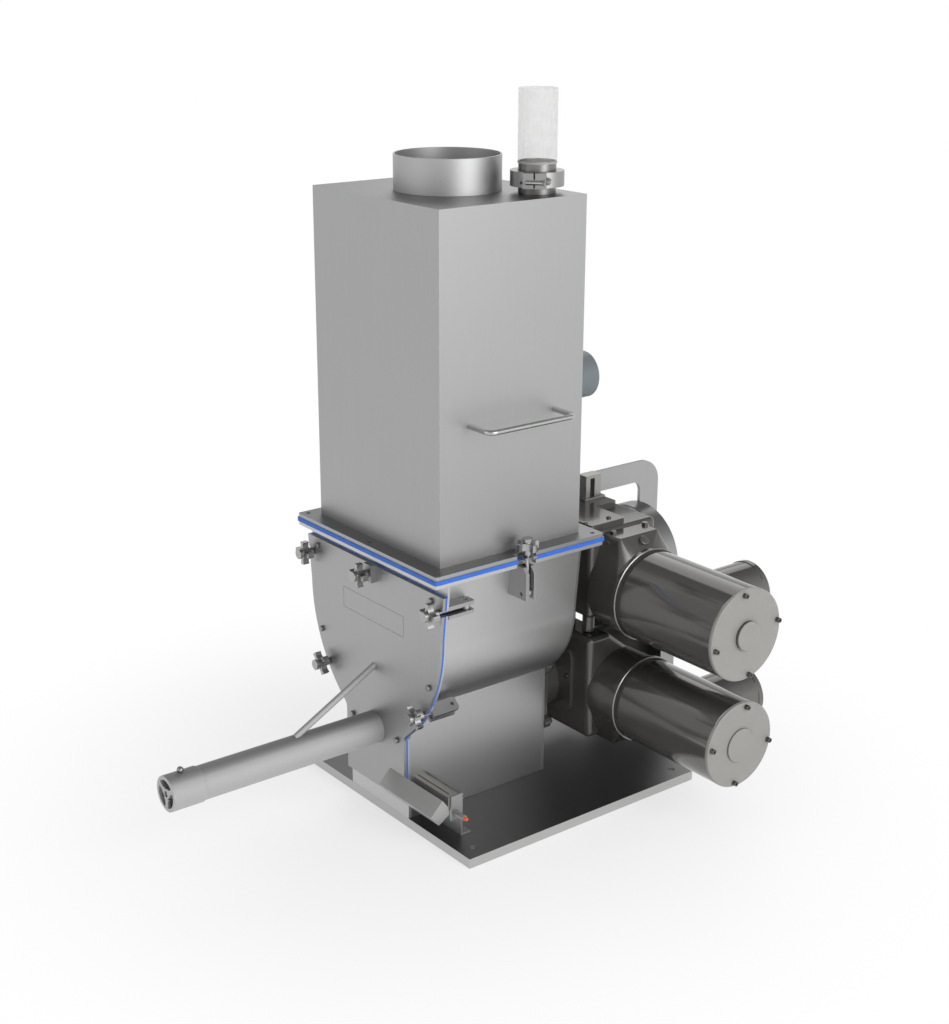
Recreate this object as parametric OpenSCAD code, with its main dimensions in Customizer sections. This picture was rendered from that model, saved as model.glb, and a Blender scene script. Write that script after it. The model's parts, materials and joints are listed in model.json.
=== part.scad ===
// Screw feeder: a hopper over an agitated trough whose feed screw discharges through a long front tube.
// Frame: X across, Y from the discharge end (-Y) to the drives (+Y), Z up.
// The origin lies on the underside of the base plate, below the centre of the inlet.

/* [Base and pedestal] */
// Width of the base plate
base_w = 596; // [560:1:640]
// Distance of the base plate's front edge from the hopper centre
base_front = 174; // [170:1:174]
// Distance of the base plate's rear edge from the hopper centre
base_rear = 420; // [400:1:460]
// Thickness of the base plate
base_t = 20; // [12:1:26]
// Distance across the base between bolt hole centres
anchor_x = 530; // [500:1:545]
// Distance along the base between bolt hole centres
anchor_y = 532; // [500:1:550]
// Diameter of the base bolt holes
anchor_d = 14; // [9:1:18]
// Outside width of the pedestal
pedestal_w = 200; // [180:1:206]
// Wall of the pedestal
pedestal_wall = 4; // [3:0.5:6]

/* [Trough] */
// How far the round bowl stands inside the mouth on each side
bowl_inset = 13.5; // [12:0.5:20]
// Wall of the trough
trough_wall = 3.5; // [2.5:0.5:4]
// Height of the agitator axis
agitator_z = 414; // [408:1:420]
// Height of the screw axis
screw_z = 188; // [184:1:192]
// Inside radius of the screw channel
channel_r = 31; // [30:0.5:32]
// Half of the trough's inside length
trough_half = 169; // [165:1:169]
// Thickness of the front plate
front_t = 5; // [4:0.5:6]
// Thickness of the rear plate
rear_t = 6; // [5:0.5:8]
// Top of the trough flange
deck_z = 564; // [560:1:570]

/* [Flanges and hopper] */
// Width of the flange rim beside the hopper
flange_rim = 34; // [30:1:38]
// Front edge of the flanges
flange_front = 204; // [202:1:208]
// Rear edge of the flanges
flange_rear = 206; // [202:1:210]
// Thickness of each flange
flange_t = 8; // [6:0.5:10]
// Thickness of the flange gasket
gasket_t = 8; // [5:0.5:9]
// Width of the hopper
hopper_w = 400; // [392:1:404]
// Depth of the hopper
hopper_d = 339; // [336:1:344]
// Height of the hopper above its flange
hopper_h = 657; // [560:1:760]
// Wall of the hopper
hopper_wall = 3; // [2:0.5:4]
// Thickness of the roof
roof_t = 4; // [3:0.5:6]
// Inside diameter of the inlet spigot
inlet_d = 197; // [150:1:220]
// Wall of the inlet spigot
inlet_wall = 3; // [2:0.5:4]
// Height of the inlet spigot
inlet_h = 67; // [50:1:90]
// Height of the side handles
handle_z = 840; // [760:1:900]
// Diameter of the handle rod
handle_d = 10; // [8:0.5:14]
// Half distance between the handle's two legs
handle_half = 101; // [80:1:120]
// Reach of the handle from the hopper wall
handle_reach = 60; // [45:1:80]

/* [Vent] */
// Vent centre to the right of the inlet
vent_x = 135; // [130:1:140]
// Vent centre behind the inlet
vent_y = 104; // [100:1:108]
// Outside diameter of the vent neck
vent_d = 70; // [60:1:72]
// Wall of the vent neck
vent_wall = 2; // [1.5:0.5:3]
// Height of the ferrule joint above the roof
vent_joint = 28; // [24:1:34]
// Height of the vent rim above the roof
vent_top = 59; // [54:1:70]
// Outside diameter of the vent ferrules
ferrule_d = 86; // [82:1:88]
// Outside diameter of the vent clamp
clamp_d = 100; // [98:1:108]
// Height of the vent clamp
clamp_h = 28; // [24:1:30]
// Height of the filter sleeve above the rim
sleeve_h = 130; // [100:1:180]

/* [Door] */
// Thickness of the door plate
door_t = 6; // [5:0.5:8]
// Thickness of the door seal
seal_t = 4; // [3:0.5:5]
// Top edge of the door
door_top = 533; // [528:1:540]
// Bottom edge of the door's leg
door_bottom = 60; // [50:1:70]
// Top of the opening behind the door
opening_top = 512; // [500:1:516]
// Width of the door's rim beside the bowl
door_rim = 33.2; // [31:0.2:35]
// Diameter of the six door screws
door_screw_d = 6; // [5:1:8]

/* [Discharge tube and screw] */
// Outside diameter of the discharge tube
tube_d = 66; // [64:0.5:67]
// Inside diameter of the discharge tube
tube_bore = 60; // [59:0.5:61]
// Distance of the tube's end from the hopper centre
tube_end = 650; // [560:1:800]
// Outside diameter of the end sleeve
sleeve_d = 70; // [69.5:0.5:76]
// Length of the end sleeve
sleeve_len = 67; // [50:1:90]
// Thickness of the three-spoke end plate
spider_t = 10; // [8:1:14]
// Diameter of the brace rod
brace_d = 13; // [10:0.5:16]
// Diameter of the screw flight
screw_d = 57; // [54:0.5:57]
// Lead of the screw
screw_lead = 50; // [40:1:60]
// Thickness of the screw flight along the axis
flight_t = 4; // [3:0.5:6]
// Diameter of the screw's core
core_d = 16; // [14:0.5:20]
// Diameter of the screw's drive end
screw_drive_d = 25; // [22:1:28]
// Diameter of the agitator shaft
agitator_d = 30; // [25:1:34]
// Radius swept by the agitator bars
agitator_r = 172; // [160:1:172]

/* [Swing clamps] */
// Diameter of the swing bolts
shank_d = 8; // [6:0.5:8]
// Diameter of the pivot pins
pin_d = 8; // [6:0.5:8]
// Outside diameter of the star knobs
knob_d = 48; // [44:1:50]
// Width of the clamp slots
slot_w = 11; // [10.5:0.5:12]
// Height of the flange clamp pivots
lid_pivot_z = 502; // [498:1:506]
// Distance of the flange clamp bolts outside the flange edge
lid_clamp_out = 2; // [1:0.5:4]
// Distance of the upper door clamps outside the bowl
upper_clamp_out = 27; // [26:0.5:29]
// Height of the upper door clamps above the agitator axis
upper_clamp_up = 86; // [70:1:88]
// Distance of the lower door clamps outside the bowl
lower_clamp_out = 28.9; // [27:0.1:30]
// Slope of the lower door clamps below the level
lower_clamp_angle = 40.7; // [36:0.1:44]
// Place of the flange clamps along Y
lid_clamp_y = 9.5; // [-20:0.5:20]
// Place of the door clamp pivots along Y
door_pivot_y = -120; // [-124:1:-116]

/* [Drives] */
// Place of the motor axes along Y
motor_y = 332; // [330:1:336]
// Height of the upper motor axis
upper_motor_z = 422; // [418:1:426]
// Height of the lower motor axis
lower_motor_z = 190; // [187:1:192]
// Radius of the upper motor
upper_motor_r = 94; // [90:0.5:96]
// Radius of the lower motor
lower_motor_r = 88.5; // [85:0.5:92]
// Distance of the motor shells from the centre plane
motor_face = 251; // [248:1:259]
// Length of the motor shells
motor_len = 247; // [220:1:320]
// Thickness of the motor end caps
cap_t = 7; // [5:1:12]
// Radius of the terminal boxes
terminal_r = 59; // [50:1:62]
// Place of the terminal boxes across the motors
terminal_x = 335; // [320:1:400]
// Rear face of the terminal boxes
terminal_rear = 520; // [500:1:560]
// Outside half width of the rear guard
guard_half = 114.5; // [110:0.5:120]
// Rear face of the rear guard
guard_rear = 536; // [525:1:545]
// Depth of the rear guard
guard_depth = 41; // [30:1:50]

/* [Level switch] */
// Height of the level switch
level_z = 866; // [820:1:900]
// Level switch to the right of the centre
level_x = 101; // [95:1:110]
// Radius of the level switch head
level_r = 46; // [40:1:50]

/* [Hidden] */
$fn = 64;

// Clearances
run_gap = 0.05;
fit_gap = 0.1;
seat_gap = 0.3;

steel = [0.72, 0.73, 0.73];
bright_steel = [0.8, 0.8, 0.8];
dark_steel = [0.38, 0.37, 0.36];
cap_grey = [0.66, 0.65, 0.63];
seal_blue = [0.16, 0.36, 0.75];

// Heights and faces that follow from the sizes above
flange_under = deck_z - flange_t;
gasket_top = deck_z + gasket_t;
hopper_z = gasket_top + flange_t;
roof_z = hopper_z + hopper_h;
front_face = -base_front;
front_back = front_face + front_t;
rear_face = trough_half + 1;
rear_back = rear_face + rear_t;
seal_front = front_face - seal_t;
door_face = seal_front - door_t;
mouth_step = 0.5;
mouth_half = hopper_w / 2 - mouth_step;
bowl_r = mouth_half - bowl_inset;
bowl_outer = bowl_r + trough_wall;
flange_half = hopper_w / 2 + flange_rim;
lid_clamp_x = flange_half + lid_clamp_out;
door_half = bowl_r + door_rim;
tube_r = tube_d / 2;
shank_r = shank_d / 2;

// Extrudes a profile drawn in X and Z along Y, from y0 to y1
module along_y(y0, y1) {
    translate([0, y1, 0]) rotate([90, 0, 0]) linear_extrude(y1 - y0) children();
}

// Rod along Y between y0 and y1
module rod_y(r, y0, y1) {
    translate([0, y1, 0]) rotate([90, 0, 0]) cylinder(r = r, h = y1 - y0);
}

// Rod along X between x0 and x1
module rod_x(r, x0, x1) {
    translate([x0, 0, 0]) rotate([0, 90, 0]) cylinder(r = r, h = x1 - x0);
}

// Rectangle with rounded corners, from its two corners
module round_rect(x0, y0, x1, y1, r) {
    translate([x0 + r, y0]) square([x1 - x0 - 2 * r, y1 - y0]);
    translate([x0, y0 + r]) square([x1 - x0, y1 - y0 - 2 * r]);
    for (x = [x0 + r, x1 - r], y = [y0 + r, y1 - r]) translate([x, y]) circle(r = r);
}

// Bar with the trough's section: flared mouth, round bowl and the screw channel under it
flare_dip = 18;
bowl_flare = (mouth_half - bowl_r) / (flange_under - agitator_z);

module trough_bar(grow, y0, y1, top) {
    low_half = bowl_r + grow - bowl_flare * flare_dip;
    difference() {
        union() {
            along_y(y0, y1) translate([0, agitator_z]) rotate(90) circle(r = bowl_r + grow, $fn = 128);
            along_y(y0, y1) polygon([[-low_half, agitator_z - flare_dip], [-mouth_half - grow, flange_under],
                [mouth_half + grow, flange_under], [low_half, agitator_z - flare_dip]]);
            along_y(y0, y1) translate([-channel_r - grow, screw_z])
                square([2 * (channel_r + grow), agitator_z - screw_z]);
            along_y(y0, y1) translate([0, screw_z]) circle(r = channel_r + grow);
        }
        translate([-flange_half, y0 - 1, top]) cube([2 * flange_half, y1 - y0 + 2, bowl_r]);
    }
}

// Outline shared by the front plate, the seal and the door: tapered sides, arcs and a narrow leg
arc_r = door_half + 79;
arc_z = agitator_z + 27;
arc_x = arc_r - door_half;
flare = 0.112;
leg_half = 99.5;
fillet_r = 20;
fillet_x = leg_half + fillet_r;
fillet_z = arc_z - sqrt(pow(arc_r + fillet_r, 2) - pow(arc_x + fillet_x, 2));
fillet_end = (fillet_x + arc_x) * arc_r / (arc_r + fillet_r) - arc_x;

module door_slab(y0, y1, top, bottom) {
    top_half = door_half + flare * (top - arc_z);
    low_half = door_half - flare * flare_dip;
    along_y(y0, y1)
        polygon([[-low_half, arc_z - flare_dip], [-top_half, top], [top_half, top], [low_half, arc_z - flare_dip]]);
    along_y(y0, y1) intersection() {
        translate([-arc_x, arc_z]) rotate(90) circle(r = arc_r, $fn = 180);
        translate([arc_x, arc_z]) rotate(90) circle(r = arc_r, $fn = 180);
        translate([-arc_r, bottom]) square([2 * arc_r, arc_z + 10 - bottom]);
    }
    along_y(y0, y1) difference() {
        translate([-fillet_end, fillet_z]) square([2 * fillet_end, agitator_z - fillet_z]);
        for (side = [-1, 1]) translate([side * fillet_x, fillet_z]) circle(r = fillet_r);
    }
    along_y(y0, y1) translate([-leg_half, bottom]) square([2 * leg_half, agitator_z - bottom]);
}

// The door clamps: pivot places in X and Z, and the angle of the outward direction
lower_clamp_reach = bowl_r + lower_clamp_out;
upper_clamp = [bowl_r + upper_clamp_out, agitator_z + upper_clamp_up, 0];
lower_clamp = [
    lower_clamp_reach * cos(lower_clamp_angle),
    agitator_z - lower_clamp_reach * sin(lower_clamp_angle),
    -lower_clamp_angle
];
door_clamps = [
    upper_clamp,
    lower_clamp,
    [-upper_clamp[0], upper_clamp[1], 180],
    [-lower_clamp[0], lower_clamp[1], 180 - lower_clamp[2]]
];

// Puts a clamp, drawn with its bolt along +Z and swinging to +X, at a door clamp's pivot
module at_door_clamp(i) {
    clamp = door_clamps[i];
    translate([clamp[0], door_pivot_y, clamp[1]]) rotate([0, -clamp[2], 0]) rotate([90, 0, 0]) children();
}

// The same for the flange clamps on the right and the left
module at_lid_clamp(i) {
    translate([i == 0 ? lid_clamp_x : -lid_clamp_x, lid_clamp_y, lid_pivot_z])
        rotate([0, 0, i * 180]) children();
}

// Open slots through the front plate, seal and door for the four swing bolts
module clamp_slots() {
    for (clamp = door_clamps)
        translate([clamp[0], clamp[1]]) rotate(clamp[2]) {
            circle(d = slot_w);
            translate([0, -slot_w / 2]) square([60, slot_w]);
        }
}

// Seats of the knobs, measured from the pivot along the bolt
door_seat = door_pivot_y - door_face;
lug_top = hopper_z - 3;
lid_seat = lug_top - lid_pivot_z;

knob_hub_d = 16;
knob_hub_h = 12;
nose_r = slot_w / 2 - fit_gap;
nose_h = 1.4;
lobe_h = 14;
boss_h = 9;
boss_d = 21;
shank_in_knob = 26;
eye_r = 9;
eye_t = 10;

// Four-lobed star knob standing on z = 0, with a blind bore for the bolt
module star_knob() {
    difference() {
        union() {
            cylinder(r = nose_r, h = nose_h + 1);
            translate([0, 0, nose_h]) cylinder(d = knob_hub_d, h = knob_hub_h - nose_h);
            translate([0, 0, knob_hub_h]) difference() {
                cylinder(d = knob_d, h = lobe_h);
                for (a = [45 : 90 : 315])
                    rotate(a) translate([knob_d * 0.475, 0, -1]) cylinder(r = knob_d * 0.255, h = lobe_h + 2);
            }
            translate([0, 0, knob_hub_h + lobe_h]) cylinder(d = boss_d - 5, h = boss_h);
            translate([0, 0, knob_hub_h + lobe_h + boss_h - 6]) cylinder(d = boss_d, h = 6);
        }
        translate([0, 0, -1]) cylinder(r = shank_r + run_gap, h = shank_in_knob + 2);
    }
}

// Eye bolt with its eye on the pivot and its shank along +Z
module swing_bolt(seat) {
    difference() {
        union() {
            rotate([90, 0, 0]) cylinder(r = eye_r, h = eye_t, center = true);
            cylinder(r = shank_r, h = seat + shank_in_knob);
        }
        rotate([90, 0, 0]) cylinder(d = pin_d + 2 * run_gap, h = 2 * eye_t, center = true);
    }
}

// Base plate with four bolt holes
module base_plate() {
    anchor_mid = (base_rear - base_front) / 2 + 2;
    color(steel) difference() {
        translate([-base_w / 2, -base_front, 0]) cube([base_w, base_front + base_rear, base_t]);
        for (x = [-1, 1], y = [-1, 1])
            translate([x * anchor_x / 2, anchor_mid + y * anchor_y / 2, -1]) cylinder(d = anchor_d, h = base_t + 2);
    }
}

// Skirt of the trough: two side walls on a floor sheet
module pedestal() {
    color(steel) difference() {
        along_y(front_back, rear_face) difference() {
            translate([-pedestal_w / 2, base_t]) square([pedestal_w, agitator_z - base_t]);
            translate([-pedestal_w / 2 + pedestal_wall, base_t + pedestal_wall])
                square([pedestal_w - 2 * pedestal_wall, agitator_z]);
        }
        trough_bar(trough_wall + fit_gap, front_back - 1, rear_face + 1, flange_under);
    }
}

// Front plate of the trough, whose leg reaches down to the base
module front_plate() {
    color(steel) difference() {
        door_slab(front_face, front_back, flange_under, base_t);
        trough_bar(0, front_face - 1, front_back + 1, opening_top);
        along_y(front_face - 1, front_back + 1) clamp_slots();
    }
}

// Bent trough with the screw channel and the top flange with its clamp notches
module trough() {
    color(steel) {
        difference() {
            trough_bar(trough_wall, front_back, rear_face, flange_under);
            trough_bar(0, front_back - 1, rear_face + 1, flange_under + 1);
        }
        translate([0, 0, flange_under]) linear_extrude(flange_t) flange_ring(0);
    }
}

// Flange outline with the hopper opening, flange holes and clamp notches
notch_w = 46;
notch_depth = 12;
flange_hole_d = 9;
flange_hole_x = flange_half - 14.5;
flange_hole_y = 188;

module flange_ring(proud) {
    difference() {
        round_rect(-flange_half - proud, -flange_front - proud, flange_half + proud, flange_rear + proud, 6);
        square([2 * mouth_half, 2 * trough_half], center = true);
        for (x = [-flange_hole_x, 0, flange_hole_x], y = [-flange_hole_y, flange_hole_y])
            translate([x, y]) circle(d = flange_hole_d);
        for (side = [-1, 1])
            translate([side * (flange_half + notch_depth) - 2 * notch_depth, lid_clamp_y - notch_w / 2])
                square([4 * notch_depth, notch_w]);
    }
}

// Rear plate of the trough, down to the base, with a hole for each shaft seal
seal_spigot = 7;

module rear_plate() {
    color(steel) difference() {
        union() {
            trough_bar(trough_wall, rear_face, rear_back, flange_under);
            translate([-pedestal_w / 2, rear_face, base_t]) cube([pedestal_w, rear_t, agitator_z - base_t]);
        }
        translate([0, 0, agitator_z]) rod_y(agitator_d / 2 + seal_spigot + fit_gap, trough_half, rear_back + 1);
        translate([0, 0, screw_z]) rod_y(screw_drive_d / 2 + seal_spigot + fit_gap, trough_half, rear_back + 1);
        for (shaft_z = [agitator_z, screw_z]) at_gear_lugs(shaft_z)
            rod_y(gear_screw_r + fit_gap, rear_back - gear_screw_in - fit_gap, rear_back + 1);
    }
}

// Flanged seal bush around each shaft, in the rear plate
module shaft_seal(shaft_d, z) {
    translate([0, 0, z]) difference() {
        union() {
            rod_y(shaft_d / 2 + seal_spigot, rear_face, rear_back);
            rod_y(shaft_d / 2 + seal_spigot + 10, rear_back, rear_back + 8);
        }
        rod_y(shaft_d / 2 + run_gap, rear_face - 1, rear_back + 9);
    }
}

module shaft_seals() {
    color("white") {
        shaft_seal(agitator_d, agitator_z);
        shaft_seal(screw_drive_d, screw_z);
    }
}

// Blue gasket between the two flanges, slightly proud of them
module flange_gasket() {
    color(seal_blue) translate([0, 0, deck_z]) linear_extrude(gasket_t) flange_ring(2);
}

// Hopper extension: flange with clamp lugs, four walls and the roof
module hopper() {
    lug_w = 28;
    lug_t = 5;
    lug_reach = 12;
    color(steel) {
        translate([0, 0, gasket_top]) linear_extrude(flange_t) flange_ring(0);
        for (i = [0, 1]) translate([0, 0, lug_top - lid_pivot_z - lug_t]) at_lid_clamp(i)
            linear_extrude(lug_t) difference() {
                translate([-lug_reach * 2, -lug_w / 2]) square([lug_reach * 3, lug_w]);
                circle(d = slot_w);
                translate([0, -slot_w / 2]) square([lug_reach * 2, slot_w]);
            }
        difference() {
            translate([-hopper_w / 2, -hopper_d / 2, hopper_z]) cube([hopper_w, hopper_d, hopper_h]);
            translate([-hopper_w / 2 + hopper_wall, -hopper_d / 2 + hopper_wall, hopper_z - 1])
                cube([hopper_w - 2 * hopper_wall, hopper_d - 2 * hopper_wall, hopper_h + 1 - roof_t]);
            translate([0, 0, roof_z - roof_t - 1]) cylinder(d = inlet_d, h = roof_t + 2, $fn = 128);
            translate([vent_x, vent_y, roof_z - roof_t - 1]) cylinder(d = vent_d - 2 * vent_wall, h = roof_t + 2);
            translate([level_x, 0, level_z]) rod_y(level_shaft_r + level_neck_wall + fit_gap, 0, hopper_d);
        }
    }
}

// Inlet spigot
module inlet_spigot() {
    color(bright_steel) translate([0, 0, roof_z]) difference() {
        cylinder(r = inlet_d / 2 + inlet_wall, h = inlet_h, $fn = 128);
        translate([0, 0, -1]) cylinder(d = inlet_d, h = inlet_h + 2, $fn = 128);
    }
}

// Bow handle on each side of the hopper
module bow_handle() {
    bend_r = 14;
    rod_r = handle_d / 2;
    for (side = [-1, 1]) {
        translate([0, side * handle_half, 0]) rod_x(rod_r, 0, handle_reach - bend_r);
        translate([handle_reach - bend_r, side * (handle_half - bend_r), 0])
            rotate([0, 0, side == 1 ? 0 : -90]) rotate_extrude(angle = 90) translate([bend_r, 0]) circle(r = rod_r);
    }
    translate([handle_reach, 0, 0]) rod_y(rod_r, -handle_half + bend_r, handle_half - bend_r);
}

module side_handles() {
    color(bright_steel) for (side = [0, 180])
        rotate([0, 0, side]) translate([hopper_w / 2, 0, handle_z]) bow_handle();
}

// Ferruled vent neck on the roof, and the vent collar clamped on it
ferrule_t = 6;

module vent_tube(bottom, top, ferrule_bottom) {
    translate([vent_x, vent_y, roof_z]) difference() {
        union() {
            translate([0, 0, bottom]) cylinder(d = vent_d, h = top - bottom);
            translate([0, 0, ferrule_bottom]) cylinder(d = ferrule_d, h = ferrule_t);
        }
        translate([0, 0, bottom - 1]) cylinder(d = vent_d - 2 * vent_wall, h = top - bottom + 2);
    }
}

module vent_stub() {
    color(dark_steel) vent_tube(0, vent_joint, vent_joint - ferrule_t);
}

module vent_collar() {
    color(dark_steel) vent_tube(vent_joint, vent_top, vent_joint);
}

// Puts a piece at the vent clamp, turned so that its two ears face the front right corner
module at_vent_clamp() {
    translate([vent_x, vent_y, roof_z + vent_joint]) rotate([0, 0, -45]) children();
}

clamp_split = 1.5;
ear_reach = 10;
ear_len = 21;
vent_bolt_r = 4;
vent_bolt_x = clamp_d / 2 + ear_reach - 7;

// Half ring with a groove over the ferrules and an ear at each end
module vent_clamp_half() {
    difference() {
        intersection() {
            union() {
                cylinder(d = clamp_d, h = clamp_h, center = true);
                for (side = [-1, 1])
                    translate([side * (clamp_d / 2 + ear_reach - 14), 0, 0])
                        cube([28, 2 * ear_len, clamp_h], center = true);
            }
            translate([-clamp_d, clamp_split, -clamp_h]) cube([2 * clamp_d, clamp_d, 2 * clamp_h]);
        }
        cylinder(r = vent_d / 2 + seat_gap, h = clamp_h + 2, center = true);
        cylinder(r = ferrule_d / 2 + seat_gap, h = 2 * (ferrule_t + fit_gap), center = true);
        for (side = [-1, 1])
            translate([side * vent_bolt_x, 0, 0]) rod_y(vent_bolt_r + fit_gap, 0, clamp_d);
    }
}

module vent_clamp_halves() {
    color(bright_steel) at_vent_clamp() for (a = [0, 180]) rotate([0, 0, a]) vent_clamp_half();
}

// Bolt through each pair of ears, with its nut
vent_nut_h = 7;

module vent_clamp_bolts() {
    color(bright_steel) at_vent_clamp() for (side = [-1, 1]) translate([side * vent_bolt_x, 0, 0]) {
        rod_y(vent_bolt_r, -ear_len - 5, ear_len + vent_nut_h + 2);
        translate([0, -ear_len, 0]) rotate([90, 0, 0]) cylinder(r = 7, h = 5, $fn = 6);
    }
}

module vent_clamp_nuts() {
    color(bright_steel) at_vent_clamp() for (side = [-1, 1]) translate([side * vent_bolt_x, 0, 0]) difference() {
        translate([0, ear_len + vent_nut_h, 0]) rotate([90, 0, 0]) cylinder(r = 7.5, h = vent_nut_h, $fn = 6);
        rod_y(vent_bolt_r + run_gap, ear_len - 1, ear_len + vent_nut_h + 1);
    }
}

// Mesh filter sleeve, closed at the top, drawn over the vent collar's rim
module filter_sleeve() {
    cloth_t = 1.5;
    overlap = 10;
    color([0.93, 0.93, 0.93, 0.6]) translate([vent_x, vent_y, roof_z + vent_top - overlap]) difference() {
        cylinder(r = vent_d / 2 + seat_gap + cloth_t, h = sleeve_h + overlap);
        translate([0, 0, -1]) cylinder(r = vent_d / 2 + seat_gap, h = sleeve_h + overlap + 1 - cloth_t);
    }
}

// Level switch: neck through the rear wall, round head with its gland, and the paddle inside
level_shaft_r = 5;
level_neck_wall = 8;
level_head_y = hopper_d / 2 + 30;
level_head_len = 62;

module level_mount() {
    neck_r = level_shaft_r + level_neck_wall;
    color(bright_steel) translate([level_x, 0, level_z]) difference() {
        union() {
            rod_y(neck_r, hopper_d / 2 - hopper_wall - 6, level_head_y);
            rod_y(neck_r + 16, hopper_d / 2, hopper_d / 2 + 7);
        }
        rod_y(level_shaft_r + run_gap, 0, level_head_y + 1);
    }
}

module level_head() {
    gland_x = -6;
    bearing = 20;
    color([0.42, 0.48, 0.52]) translate([level_x, 0, level_z]) difference() {
        union() {
            rod_y(level_r, level_head_y, level_head_y + level_head_len);
            translate([gland_x, level_head_y + 16, 0]) cylinder(r = 7, h = level_r + 9);
        }
        rod_y(level_shaft_r + run_gap, level_head_y - 1, level_head_y + bearing);
    }
}

module level_paddle() {
    paddle_w = 70;
    paddle_h = 50;
    paddle_t = 3;
    paddle_y = hopper_d / 2 - 90;
    color(bright_steel) translate([level_x, 0, level_z]) {
        rod_y(level_shaft_r, paddle_y, level_head_y + 18);
        translate([-paddle_t / 2, paddle_y - paddle_h / 2, -paddle_w / 2]) cube([paddle_t, paddle_h, paddle_w]);
    }
}

// Door plate with its clamp slots, tube hole, screw holes, knob block and a bare engraved frame
door_screw_spots = [[door_half - 27.2, 518], [door_half - 35.2, 339], [77, 187.5]];
knob_block_z = 518;
knob_block = [26, 12, 36];
frame_half_w = 103;
frame_low = 414;
frame_high = 458;

module door_screw_places() {
    for (spot = door_screw_spots, side = [-1, 1]) translate([side * spot[0], spot[1]]) children();
}

module door_plate() {
    groove = 0.6;
    color(steel) difference() {
        union() {
            door_slab(door_face, seal_front, door_top, door_bottom);
            translate([-knob_block[0] / 2, door_face - knob_block[1], knob_block_z - knob_block[2] / 2])
                cube(knob_block);
        }
        along_y(door_face - 1, seal_front + 1) {
            clamp_slots();
            translate([0, screw_z]) circle(r = tube_r + fit_gap);
            door_screw_places() circle(d = door_screw_d + 2 * fit_gap);
        }
        along_y(door_face - 1, door_face + groove) difference() {
            translate([-frame_half_w, frame_low]) square([2 * frame_half_w, frame_high - frame_low]);
            translate([-frame_half_w + 1.5, frame_low + 1.5])
                square([2 * frame_half_w - 3, frame_high - frame_low - 3]);
        }
    }
    color(bright_steel) translate([0, 0, knob_block_z])
        rod_y(shank_r, door_face - knob_block[1] - seat_gap - shank_in_knob, door_face);
}

// Blue door seal
module door_seal() {
    color(seal_blue) difference() {
        door_slab(seal_front, front_face, door_top, door_bottom);
        trough_bar(0, seal_front - 1, front_face + 1, opening_top);
        along_y(seal_front - 1, front_face + 1) clamp_slots();
    }
}

// Six small screws in the door
module door_screws() {
    color(bright_steel) door_screw_places_3d() {
        rod_y(door_screw_d / 2, door_face, seal_front);
        rod_y(door_screw_d, door_face - 6, door_face);
    }
}

module door_screw_places_3d() {
    for (spot = door_screw_spots, side = [-1, 1]) translate([side * spot[0], 0, spot[1]]) children();
}

// Discharge tube with its brace rod
brace_foot_y = -370;
brace_top_z = 331;

module feed_tube() {
    foot = [0, brace_foot_y, screw_z + tube_r - 2];
    run = door_face + 20 - foot[1];
    rise = brace_top_z - foot[2];
    color(bright_steel) difference() {
        union() {
            translate([0, 0, screw_z]) rod_y(tube_r, -tube_end + spider_t, seal_front);
            intersection() {
                translate(foot) rotate([-atan2(run, rise), 0, 0]) cylinder(d = brace_d, h = norm([run, rise]));
                translate([-tube_r, foot[1] - brace_d, screw_z]) cube([tube_d, door_face - foot[1] + brace_d, 300]);
            }
        }
        translate([0, 0, screw_z]) rod_y(tube_bore / 2, -tube_end, seal_front + 1);
        translate([0, outlet_pin_y, screw_z]) cylinder(r = outlet_pin_r + fit_gap, h = tube_d);
    }
}

// End sleeve with the three-spoke plate that carries the screw's front journal
outlet_pin_y = -618;
outlet_pin_r = 3;
journal_r = 5;
hub_r = 9;
hub_len = 24;

module outlet_sleeve() {
    spoke_w = 6;
    window_r = tube_bore / 2 - 2;
    color(bright_steel) difference() {
        union() {
            translate([0, 0, screw_z]) difference() {
                rod_y(sleeve_d / 2, -tube_end, -tube_end + sleeve_len);
                rod_y(tube_r + fit_gap, -tube_end + spider_t, -tube_end + sleeve_len + 1);
                rod_y(window_r, -tube_end - 1, -tube_end + spider_t + 1);
            }
            translate([0, 0, screw_z]) rod_y(hub_r, -tube_end, -tube_end + hub_len);
            for (a = [-90, 30, 150]) translate([0, -tube_end, screw_z]) rotate([0, -a, 0])
                translate([0, 0, -spoke_w / 2]) cube([window_r + 2, spider_t, spoke_w]);
        }
        translate([0, 0, screw_z]) rod_y(journal_r + run_gap, -tube_end - 1, -tube_end + hub_len + 1);
        translate([0, outlet_pin_y, screw_z]) cylinder(r = outlet_pin_r + fit_gap, h = tube_d);
    }
}

// Round-headed pin that holds the sleeve on the tube
module outlet_pin() {
    head_r = 6.5;
    color(bright_steel) translate([0, outlet_pin_y, screw_z]) {
        translate([0, 0, tube_bore / 2 + 0.5]) cylinder(r = outlet_pin_r, h = sleeve_d / 2 - tube_bore / 2 + 2);
        translate([0, 0, sleeve_d / 2 + head_r * 0.8]) intersection() {
            sphere(r = head_r);
            translate([0, 0, -head_r * 0.8]) cylinder(r = head_r, h = 2 * head_r);
        }
    }
}

// Screw shaft: front journal, core and thicker drive end
drive_end_y = 430;
core_end_y = trough_half - 12;

module screw_shaft() {
    color(bright_steel) translate([0, 0, screw_z]) {
        rod_y(journal_r, -tube_end + 3, -tube_end + hub_len + 1);
        rod_y(core_d / 2, -tube_end + hub_len + seat_gap, core_end_y + 1);
        rod_y(screw_drive_d / 2, core_end_y, drive_end_y);
    }
}

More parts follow.
